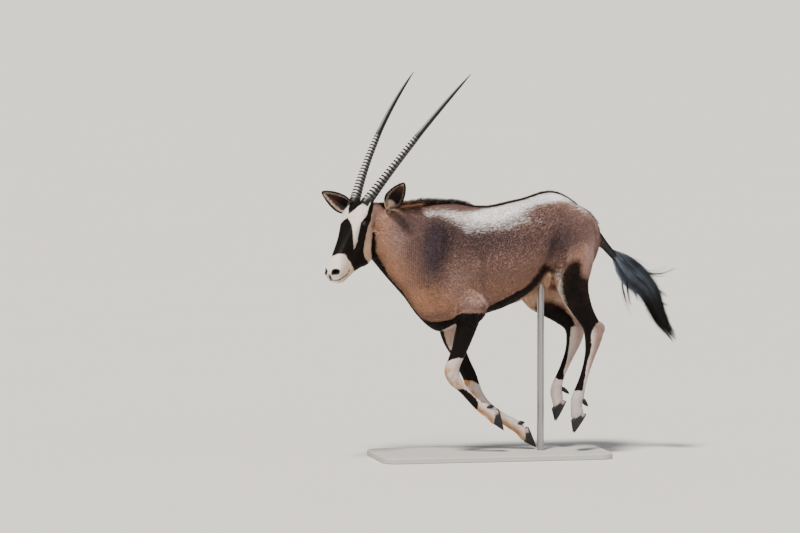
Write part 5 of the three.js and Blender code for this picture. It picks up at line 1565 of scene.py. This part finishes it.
# all the hair of an ear
def addEarFur(name, index):
    rng = np.random.default_rng(earFur["seed"] + index)
    groups = [earTufts(name, table, rng) for table in earFurKinds.values()]
    spot, normal, way, long, high, t, u, inner = (np.concatenate(part) for part in zip(*groups))
    sway = rng.normal(0, earFur["sway"], len(spot))
    points, faces, size = blades(spot, normal, way, long, earFur["wide"] * mm, high, sway)
    mesh = makeMesh("ear_%s_hair" % name, points, faces)
    patchMap(mesh, faces, np.stack([0.02 + 0.2 * t + 0.5 * index, 0.6 + 0.2 * u * (1 - 2 * inner)], 1), size)
    across = np.where((inner > 0) & (np.abs(u) < 0.9), 0.84, np.abs(u))
    fields = {"inner": inner, "across": across, "along": t, "deep": t - earPlaces[name]["dark"],
              "vary": rng.uniform(0, 1, len(spot))}
    giveValues(mesh, {key: np.repeat(value, size) for key, value in fields.items()})
    addPiece(mesh.name, mesh, earHairPaint)


for earIndex, earName in enumerate(("left", "right")):
    addEar(earName)
    addEarFur(earName, earIndex)
print("ears done")

ball = {"across": 64, "down": 44, "bulge": 0.06, "bulgeWidth": 0.55, "iris": 13.5, "pupil": [8.5, 4.2]}


# an eyeball that bulges in front, with fields for its iris and its level pupil
def addEye(name, way):
    centre, aim, length, height = eyeAxes(way)
    lat = np.linspace(0.005, np.pi - 0.005, ball["down"])[:, None, None]
    lon = turnSteps(ball["across"])[None, :, None]
    radius = eyes["radius"] * mm * (1 + ball["bulge"] * bell(lat, ball["bulgeWidth"]))
    ring = np.sin(lat) * (np.cos(lon) * length + np.sin(lon) * height) + np.cos(lat) * aim
    points, faces = loft(centre + ring * radius)
    mesh = makeMesh(name + "_ball", points, faces)
    rel = points - centre
    level = unit(np.array([0, 0, 1.0]) - aim * aim[2])
    flat, tall = rel @ np.cross(aim, level), rel @ level
    pupil = np.hypot(flat / (ball["pupil"][0] * mm), tall / (ball["pupil"][1] * mm))
    front = rel @ aim > 0
    giveValues(mesh, {"iris": np.where(front, ball["iris"] * mm - np.hypot(flat, tall), -0.01),
                      "pupil": np.where(front, 1 - pupil, -1)})
    addPiece(mesh.name, mesh, eyePaint, [name])


# eye paint: dark brown mottled iris, black pupil, wet coat
def makeEyePaint():
    paint = Paint("eyeWet", Roughness=0.06, Specular_IOR_Level=0.35, Coat_Weight=0.25, Coat_Roughness=0.02)
    brown = paint.blend(paint.noise(420), (0.010, 0.004, 0.002), (0.040, 0.016, 0.006))
    base = paint.blend(paint.step(paint.value("iris"), -0.0006, 0.0006), (0.012, 0.008, 0.006), brown)
    base = paint.blend(paint.step(paint.value("pupil"), -0.12, 0.12), base, (0.001, 0.001, 0.0015))
    return paint.feed(Base_Color=base)


lid = {
    "thick": 2.3, "wide": 5.4, "stations": 72, "around": 18, "clear": 0.0012, "power": 1.85,
    "lashes": 46, "lashLong": 9.0, "lashWide": 0.9, "lashHigh": 1.2, "seed": 41,
}


# how far ahead of the eye's middle the lid lies: sqrt(r^2 - 0.72 u^2 - 0.86 v^2)
def lidDepth(u, v):
    rest = eyes["radius"] * mm + lid["clear"]
    return np.sqrt(np.maximum(rest ** 2 - u ** 2 * 0.72 - v ** 2 * 0.86, 1e-6))


# a lid ring: a flat oval profile carried round the slit, lying on the eyeball
def addLids(name, way):
    centre, aim, length, height = eyeAxes(way)
    turn = turnSteps(lid["stations"])[:, None]
    profile = turnSteps(lid["around"])[None, :]
    c, s = np.cos(turn), np.sin(turn)
    upper = ease(-0.2, 0.4, s)
    flat = (np.cos(profile) + 0.80) * lid["wide"] * mm * (0.85 + 0.35 * upper)
    thick = np.sin(profile) * lid["thick"] * mm * (0.5 + 0.2 * upper)
    outward = unit(np.concatenate([c / eyes["slitLength"], s / eyes["slitHeight"]], 1))
    u = eyes["slitLength"] * 0.5 * mm * bend(c, 2.0) + outward[:, :1] * flat
    v = eyes["slitHeight"] * 0.5 * mm * bend(s, lid["power"]) + outward[:, 1:] * flat
    depth = lidDepth(u, v) + thick + 0.0006
    points = centre + u[..., None] * length + v[..., None] * height + depth[..., None] * aim
    points = points.reshape(-1, 3)
    faces = split(gridFaces(lid["stations"] + 1, lid["around"]) % len(points))
    addPiece(name, makeMesh(name, points, facedOut(points - points.mean(0), faces)), lidPaint)


# lashes along the upper lid
def addLashes(name, way):
    centre, aim, length, height = eyeAxes(way)
    rng = np.random.default_rng(lid["seed"])
    count = lid["lashes"]
    angle = (np.linspace(0.35, np.pi - 0.45, count) + rng.normal(0, 0.03, count))[:, None]
    u = eyes["slitLength"] * 0.5 * mm * np.cos(angle)
    v = eyes["slitHeight"] * 0.5 * mm * bend(np.sin(angle), lid["power"]) + 0.001
    root = centre + u * length + v * height + (lidDepth(u, v) + 0.001) * aim
    ways = unit(aim * 0.9 + height * 0.25 + length * (np.cos(angle) * 0.5))
    normal = unit(height - ways * (ways @ height)[:, None])
    long = lid["lashLong"] * mm * rng.uniform(0.7, 1.1, count)
    points, faces, size = blades(root, normal, ways, long, lid["lashWide"] * mm, lid["lashHigh"] * mm,
                                 rng.normal(0, 0.0006, count))
    mesh = makeMesh(name, points, faces)
    patchMap(mesh, faces, np.stack([0.1 + 0.002 * np.arange(count), np.full(count, 0.3)], 1), size)
    addPiece(name, mesh, lidPaint)


# lid paint: black wrinkled skin
def makeLidPaint():
    paint = Paint("lidSkin", Roughness=0.45, Specular_IOR_Level=0.3)
    wrinkles = paint.noise(520, detail=3.0)
    base = paint.blend(wrinkles, (0.004, 0.0035, 0.0035), (0.016, 0.012, 0.011))
    return paint.feed(Base_Color=base, Normal=paint.bump(wrinkles, 0.5, 0.0006))


eyePaint = makeEyePaint()
lidPaint = makeLidPaint()
for eyeName, eyeWay in (("left", 1), ("right", -1)):
    addEye("eye_" + eyeName, eyeWay)
    addLids("lids_" + eyeName, eyeWay)
    addLashes("lids_" + eyeName + "_lashes", eyeWay)
print("eyes and lids done")


# a claw: rings from sole to coronet that narrow to the toe; share is 0 at the heel, 1 at the toe
def clawShell(name, side):
    heel, along, up, across = footFrame(name)
    t = np.linspace(0, 1, hoof["levels"])[:, None]
    angle = turnSteps(hoof["sides"])[None, :]
    share = (1 + np.cos(angle)) / 2
    back = t * hoof["coronetBack"]
    front = hoof["soleLength"] + t * (hoof["coronetFront"] - hoof["soleLength"])
    belly = 1 - 0.12 * t - 0.1 * ease(0.12, 0.0, t)
    half = hoof["halfWidth"] * belly * (1 - 0.62 * (1 - 0.55 * t) * share ** 3)
    middle = side * (hoof["cleft"] + hoof["halfWidth"] + hoof["splay"] * share * (1 - t))
    wide = middle + half * bend(np.sin(angle), 2.4) - side * (hoof["halfWidth"] - half) * 0.5
    wave = 0.5 * np.sin(t * 34 + share * 1.5) * ease(0.05, 0.3, t)
    long = back + share * (front - back) + wave * share
    high = t * hoof["heelHeight"] + share * t * (hoof["frontHeight"] - hoof["heelHeight"])
    rings = heel + (long[..., None] * along + high[..., None] * up + wide[..., None] * across) * mm
    level = withEnds(t, long.shape, 0, 1)
    return *loft(rings), level, withEnds(long / hoof["soleLength"], long.shape, 0.5, 0.5)


# a dewclaw: a blunt cone behind the fetlock
def dewclawShell(name, side):
    heel, along, up, across = footFrame(name)
    table = np.array(legRows[name], float) * mm
    run = unit(table[-3, :3] - table[-5, :3])
    rear = unit(-up - run * (-up @ run))
    root = table[-4, :3] + (rear * dewclaw["back"] + across * side * dewclaw["side"]) * mm
    root = root + np.array([feet[name]["dew"][0], 0, feet[name]["dew"][1]]) * mm
    aim = unit(rear * 0.75 + run * 0.7)
    t = np.linspace(0, 1, dewclaw["levels"])
    size = dewclaw["halfWidth"] * mm * np.sqrt(np.maximum(1 - t ** 2.4, 0.03))
    centre = root + aim * (dewclaw["length"] * mm * t)[:, None]
    wide, tall = (np.broadcast_to(v, centre.shape) for v in (across, unit(np.cross(aim, across))))
    points, faces = loft(ovalRings(centre, wide, tall, size * 1.15, size, size, dewclaw["sides"], 2.0, 2.0))
    return points, faces, np.full(len(points), 0.6), np.ones(len(points))


# hoof paint: slate with growth rings, dust low down, a pale heel and a soft upper edge
def makeHoofPaint():
    paint = Paint("hoofHorn", Roughness=0.5, Specular_IOR_Level=0.3)
    level = paint.value("level")
    ringed = paint.bands(paint.add("CombineXYZ", {}, {"X": level}), 3.2, 1.5)
    dust = paint.noise(60, detail=3.0)
    base = paint.blend(ringed * 0.6, (0.008, 0.008, 0.011), (0.026, 0.025, 0.030))
    dusty = paint.step(dust, 0.55, 0.78) * paint.step(level, 0.6, 0.0) * 0.4
    base = paint.blend(dusty, base, (0.20, 0.14, 0.10))
    base = paint.blend(paint.step(level, 0.92, 1.0) * 0.5, base, (0.10, 0.08, 0.07))
    bulb = paint.step(paint.value("heelward") + (dust - 0.5) * 0.12, 0.26, 0.14)
    base = paint.blend(bulb * paint.step(level, 0.15, 0.5), base, (0.30, 0.23, 0.20))
    relief = paint.bump(ringed + dust * 0.4, 0.3, 0.001)
    return paint.feed(Base_Color=base, Roughness=0.4 + dust * 0.25, Normal=relief)


# the two claws and two dewclaws of a foot as one piece
def addHoof(leg):
    shells = [clawShell(leg, -1), clawShell(leg, 1), dewclawShell(leg, -1), dewclawShell(leg, 1)]
    mesh = makeMesh("hoof_" + leg, *joined([shell[:2] for shell in shells]))
    giveValues(mesh, {"level": np.concatenate([shell[2] for shell in shells]),
                      "heelward": np.concatenate([shell[3] for shell in shells])})
    addPiece(mesh.name, mesh, hoofPaint, [leg + "_claw_inner", leg + "_claw_outer"])


hoofPaint = makeHoofPaint()
for leg in feet:
    addHoof(leg)
print("hooves done")


# strands: rings of three round each path; paths is strands x stations x 3, widths strands x stations
def strands(paths, widths, sideWish, flat=0.45):
    after = np.concatenate([paths[:, 1:], paths[:, -1:]], 1)
    before = np.concatenate([paths[:, :1], paths[:, :-1]], 1)
    ahead = unit(after - before)
    wish = sideWish[:, None, :]
    half = widths[..., None] * 0.5
    side = unit(wish - ahead * (ahead * wish).sum(-1, keepdims=True))
    up = np.cross(ahead, side) * flat * half
    points = np.stack([paths + side * half, paths + up, paths - side * half], 2).reshape(-1, 3)
    size = 3 * paths.shape[1]
    faces = np.vstack([tubeFaces(paths.shape[1]), [[size - 3, size - 1, size - 2]]])
    return points, everyFace(points, faces, size), size


# a piece of strands with its patches and the values of its paint: vary, rust and tip
def addStrands(name, shape, spots, vary, rust, paint, nodes=()):
    points, faces, size = shape
    mesh = makeMesh(name, points, faces)
    patchMap(mesh, faces, spots, size)
    tip = np.tile(np.repeat(np.linspace(0, 1, size // 3), 3), len(spots))
    giveValues(mesh, {"vary": vary, "tip": tip, "rust": rust})
    addPiece(name, mesh, paint, nodes)


# hair paint: a dark and a light tone, mixed strand by strand, rust towards the tip
def hairPaint(name, dark, light, rough):
    paint = Paint(name, Roughness=rough, Specular_IOR_Level=0.35)
    streak = paint.noise(300)
    base = paint.blend(paint.value("vary") * (streak * 0.6 + 0.55), dark, light)
    base = paint.blend(paint.value("rust") * (0.35 + paint.value("tip") * 0.65), base, (0.27, 0.115, 0.052))
    return paint.feed(Base_Color=base, Normal=paint.bump(streak, 0.3, 0.0008))


manes = {
    "mane": {"seed": 11, "count": 3000, "long": 43, "from": -548, "to": -40, "spread": 15, "width": 3.6,
             "rise": 1.15, "clump": 0.17, "stations": 6},
    "dorsal": {"seed": 12, "count": 4200, "long": 19, "from": -70, "to": 494, "spread": 16, "width": 2.0,
               "rise": 0.95, "clump": 0.12, "stations": 5},
    "ruff": {"seed": 13, "count": 420, "long": 44, "from": -440, "to": -350, "spread": 24, "width": 1.7,
             "rise": 0.75, "clump": 0.35, "stations": 6},
}
crest = {"lock": 13.0, "steps": 6, "unwrap": [-548, 506]}


# the line of the back at some x: height, place to the left, and slope
def backLine(x):
    rows = smoothRows(trunkRows, crest["steps"])
    order = np.argsort(rows[:, 0])
    slope = np.gradient(rows[order, 1], rows[order, 0] + np.arange(len(rows)) * 1e-6)
    return (np.interp(x, rows[order, 0], v) for v in (rows[order, 1], -rows[order, 6], slope))


# hair along the crest: strands that rise and curve back, in clumps that lean to either side
def addCrest(name, table):
    rng = np.random.default_rng(table["seed"])
    count, clump = table["count"], table["clump"]
    share = np.sort(rng.uniform(0, 1, count))
    x = table["from"] + (table["to"] - table["from"]) * share
    z, y, slope = backLine(x)
    off = rng.normal(0, table["spread"] * 0.5, count)
    size = np.ones(count)
    if name == "ruff":
        off = -np.abs(off) * 1.6 - 4
    if name == "mane":
        size = 0.55 + 0.45 * np.sin(np.pi * np.clip(share * 1.15 + 0.1, 0, 1))
        size = np.maximum(size * ease(1.0, 0.84, share), 0.3)
    lock = np.floor(x / crest["lock"] + 0.35 * np.sin(off * 0.3))
    swing = np.sin(lock * 12.9898) * 0.5 + np.sin(lock * 4.14) * 0.5
    reach = (table["long"] * size * rng.uniform(0.72, 1.08, count) * (1 + clump * swing))[:, None]
    t = np.linspace(0, 1, table["stations"])[None, :]
    lean = off / table["spread"] * 0.55 + rng.normal(0, 0.12, count) + clump * 0.9 * np.cos(lock * 7.7)
    back = 1.25 - table["rise"] * 0.72
    sunk = 0.0026 * off ** 2 + 7 + 0.02 * np.abs(off)
    px = x[:, None] + reach * (back * t + 0.3 * t * t)
    py = (y + off)[:, None] + reach * lean[:, None] * t
    pz = (z - sunk)[:, None] + reach * (table["rise"] * t - 0.36 * t * t + slope[:, None] * back * t)
    widths = table["width"] * mm * (1 - 0.85 * t ** 1.6) * rng.uniform(0.7, 1.2, count)[:, None]
    wish = unit(np.stack([np.full(count, 0.3), np.ones(count), rng.normal(0, 0.2, count)], 1))
    shape = strands(np.stack([px, py, pz], -1) * mm, widths, wish)
    place = {"part": np.zeros(count, int), "share": np.interp(x, crest["unwrap"], [0.99, 0.01]),
             "angle": np.pi / 2 + off * 0.004}
    if name == "ruff":
        rust = rng.uniform(0.5, 1, count)
    else:
        rust = ease(-340, -430, x) * rng.uniform(0.1, 1, count)
    vary = rng.uniform(0, 1, count)
    addStrands(name, shape, unwrap(place), np.repeat(vary, shape[2]), np.repeat(rust, shape[2]), maneHair)


tassel = {
    "path": [[552, 943], [598, 892], [647, 838], [690, 792], [741, 737], [782, 641], [819, 573], [871, 513]],
    "spread": [[0, 11], [0.1, 30], [0.2, 48], [0.29, 57], [0.39, 52], [0.52, 39], [0.66, 30], [0.8, 24],
               [0.92, 15], [1, 8]],
    "seed": 23, "count": 4200, "stations": 8, "width": 3.2, "flatness": 0.62, "locks": 26,
    "shaftSides": 20, "wispWidth": 4.2, "wispCount": 14,
}
# loose wisps: from a share of the tassel's length, at its lower or upper edge, angles down
wisps = [
    {"from": 0.25, "edge": 1, "length": 205, "start": 96, "end": 72, "across": 8},
    {"from": 0.30, "edge": 1, "length": 140, "start": 94, "end": 78, "across": -12},
    {"from": 0.38, "edge": 1, "length": 90, "start": 84, "end": 70, "across": 4},
    {"from": 0.24, "edge": -1, "length": 230, "start": 40, "end": -8, "across": -6},
    {"from": 0.30, "edge": -1, "length": 150, "start": 36, "end": 4, "across": 5},
    {"from": 0.42, "edge": -1, "length": 165, "start": 34, "end": 62, "across": 10},
    {"from": 0.50, "edge": -1, "length": 95, "start": 26, "end": 34, "across": 0},
    {"from": 0.62, "edge": -1, "length": 60, "start": 24, "end": 20, "across": -4},
    {"from": 0.68, "edge": -1, "length": 150, "start": 64, "end": 56, "across": 6, "many": 44},
    {"from": 0.80, "edge": 1, "length": 105, "start": 60, "end": 52, "across": -6, "many": 30},
]


# the tassel's middle line at shares of its length: x and z, and the way down out of it
def tasselLine(u):
    dense = smoothRows(tassel["path"], 24)
    reach = np.concatenate([[0], np.cumsum(np.linalg.norm(np.diff(dense, axis=0), axis=1))])
    reach /= reach[-1]
    here, after, before = (np.stack([np.interp(u + step, reach, dense[:, k]) for k in (0, 1)], -1)
                           for step in (0, 0.01, -0.01))
    ahead = unit(after - before)
    return here, np.stack([ahead[..., 1], -ahead[..., 0]], -1)


# half the tassel's width at shares of its length
def tasselHalf(u):
    return np.interp(u, *np.array(tassel["spread"], float).T)


# strands that leave the shaft, open out along it and draw together at the end
def tasselStrands(rng, t):
    count = tassel["count"]
    start = 0.02 + 0.5 * rng.random(count) ** 1.5
    long = rng.uniform(0.34, 0.62, count)
    finish = np.minimum(start + long, 0.80 + 0.22 * rng.random(count))
    lock = rng.integers(0, tassel["locks"], count)
    turn = 2 * np.pi * (lock * 0.618) + rng.normal(0, 0.13, count)
    ring = np.sqrt(rng.uniform(0.05, 1, count))[:, None]
    u = start[:, None] + (finish - start)[:, None] * t
    opened = 0.10 + 0.90 * np.sin(np.pi / 2 * np.clip(t / 0.3, 0, 1))
    wave = 2.5 * np.sin(u * 40 + lock[:, None] * 1.7) * t
    flare = rng.uniform(-0.25, 0.85, count)[:, None]
    bulk = 1 + 0.13 * np.sin(lock * 7.0)[:, None]
    off = tasselHalf(u) * ring * opened * (1 + flare * t ** 3) * bulk
    spot, down = tasselLine(u)
    deep = np.cos(turn)[:, None] * off + wave
    py = np.sin(turn)[:, None] * off * tassel["flatness"] + wave * 0.6
    paths = np.stack([spot[..., 0] + down[..., 0] * deep, py, spot[..., 1] + down[..., 1] * deep], -1) * mm
    widths = tassel["width"] * mm * (1 - 0.85 * t ** 1.8) * rng.uniform(0.7, 1.2, count)[:, None]
    wish = unit(np.stack([-np.sin(turn) * 0.5, np.cos(turn) + 0.01, np.sin(turn) * 0.5], 1))
    # a painted sheen of the sky: whole locks lighter at random, on the upper strands, fading out past the
    # middle
    paintedGleam = rng.uniform(0, 1, tassel["locks"])[lock] ** 2 * 1.1 + rng.uniform(0, 0.25, count)
    return paths, widths, wish, start, paintedGleam[:, None] * ease(0.64, 0.36, u)


# a wisp: strands that fan out along a line turning from one angle to another
def wispStrands(wisp, rng, t):
    many, last = wisp.get("many", tassel["wispCount"]), tassel["stations"] - 1
    turn = wisp["start"] + (wisp["end"] - wisp["start"]) * np.linspace(0, 1, last) * 1.4
    angle = np.radians(turn)
    steps = np.stack([np.cos(angle), np.zeros(last), -np.sin(angle)], 1) * wisp["length"] / last
    spot, below = (v[0] for v in tasselLine(np.array([wisp["from"]])))
    edge = wisp["edge"] * tasselHalf(wisp["from"]) * 0.55
    origin = np.array([spot[0] + below[0] * edge, wisp["across"], spot[1] + below[1] * edge])
    line = np.vstack([np.zeros(3), np.cumsum(steps, 0)])
    fan = rng.normal(0, 1, (many, 1, 3)) * [1.3, 2.0, 1.3]
    trail = rng.uniform(0.7, 1.0, (many, 1, 1))
    paths = (origin + line[None] * trail + fan * (1 + 1.5 * t[..., None])) * mm
    widths = tassel["wispWidth"] * mm * (1 - 0.75 * t ** 1.8) * np.ones((many, 1))
    return paths, widths, np.tile([0, 1.0, 0.01], (many, 1)), np.full(many, 0.4), np.full(widths.shape, 0.1)


# the tassel with its wisps, and the shaft it grows on
def addTassel():
    rng = np.random.default_rng(tassel["seed"])
    t = np.linspace(0, 1, tassel["stations"])[None, :]
    sets = [tasselStrands(rng, t)] + [wispStrands(wisp, rng, t) for wisp in wisps]
    paths, widths, wish, start, paintedGleam = (np.concatenate(group) for group in zip(*sets))
    shape = strands(paths, widths, wish, 0.6)
    spots = np.stack([0.966 + 0.02 * start, 0.02 + 0.35 * rng.random(len(paths))], 1)
    # the light tone is a painted bluish reflection of the sky on the strands
    paint = hairPaint("tasselHair", (0.0030, 0.0030, 0.004), (0.30, 0.36, 0.46), 0.45)
    vary = np.repeat(paintedGleam.ravel(), 3)
    addStrands("tassel_hair", shape, spots, vary, np.zeros(len(vary)), paint, ["tail_tassel"])
    shaft = loft(tubeTable(shaftRows, mm, tassel["shaftSides"], skin["tailSteps"])[0])
    mesh = makeMesh("tail_shaft", *shaft)
    giveValues(mesh, {key: np.zeros(len(shaft[0])) for key in ("vary", "tip", "rust")})
    addPiece("tail_shaft", mesh, paint)


maneHair = hairPaint("maneHair", (0.004, 0.003, 0.003), (0.060, 0.034, 0.025), 0.6)
for crestName, crestTable in manes.items():
    addCrest(crestName, crestTable)
addTassel()
print("mane and tassel done")


# the stand's own nodes: matt paint on the base, brushed steel on the rod
def finishStand():
    paint = Paint("standPaint", Roughness=0.55)
    wear = paint.noise(7, detail=4.0)
    base = paint.blend(wear * 0.25, (0.46, 0.45, 0.43), (0.38, 0.37, 0.355))
    relief = paint.bump(paint.noise(260), 0.15, 0.0006)
    slab = paint.feed(Base_Color=base, Roughness=0.48 + wear * 0.12, Normal=relief)
    paint = Paint("rodSteel", Metallic=1.0, Roughness=0.3)
    brushed = paint.noise(1, (30, 30, 2600))
    base = paint.blend(brushed * 0.4, (0.42, 0.42, 0.43), (0.30, 0.30, 0.31))
    relief = paint.bump(brushed, 0.12, 0.0003)
    steel = paint.feed(Base_Color=base, Roughness=0.24 + brushed * 0.16, Normal=relief)
    for node, material in (("stand_base", slab), ("stand_rod", steel)):
        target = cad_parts[node]
        target.data.materials.clear()
        target.data.materials.append(material)


finishStand()
print("stand done")
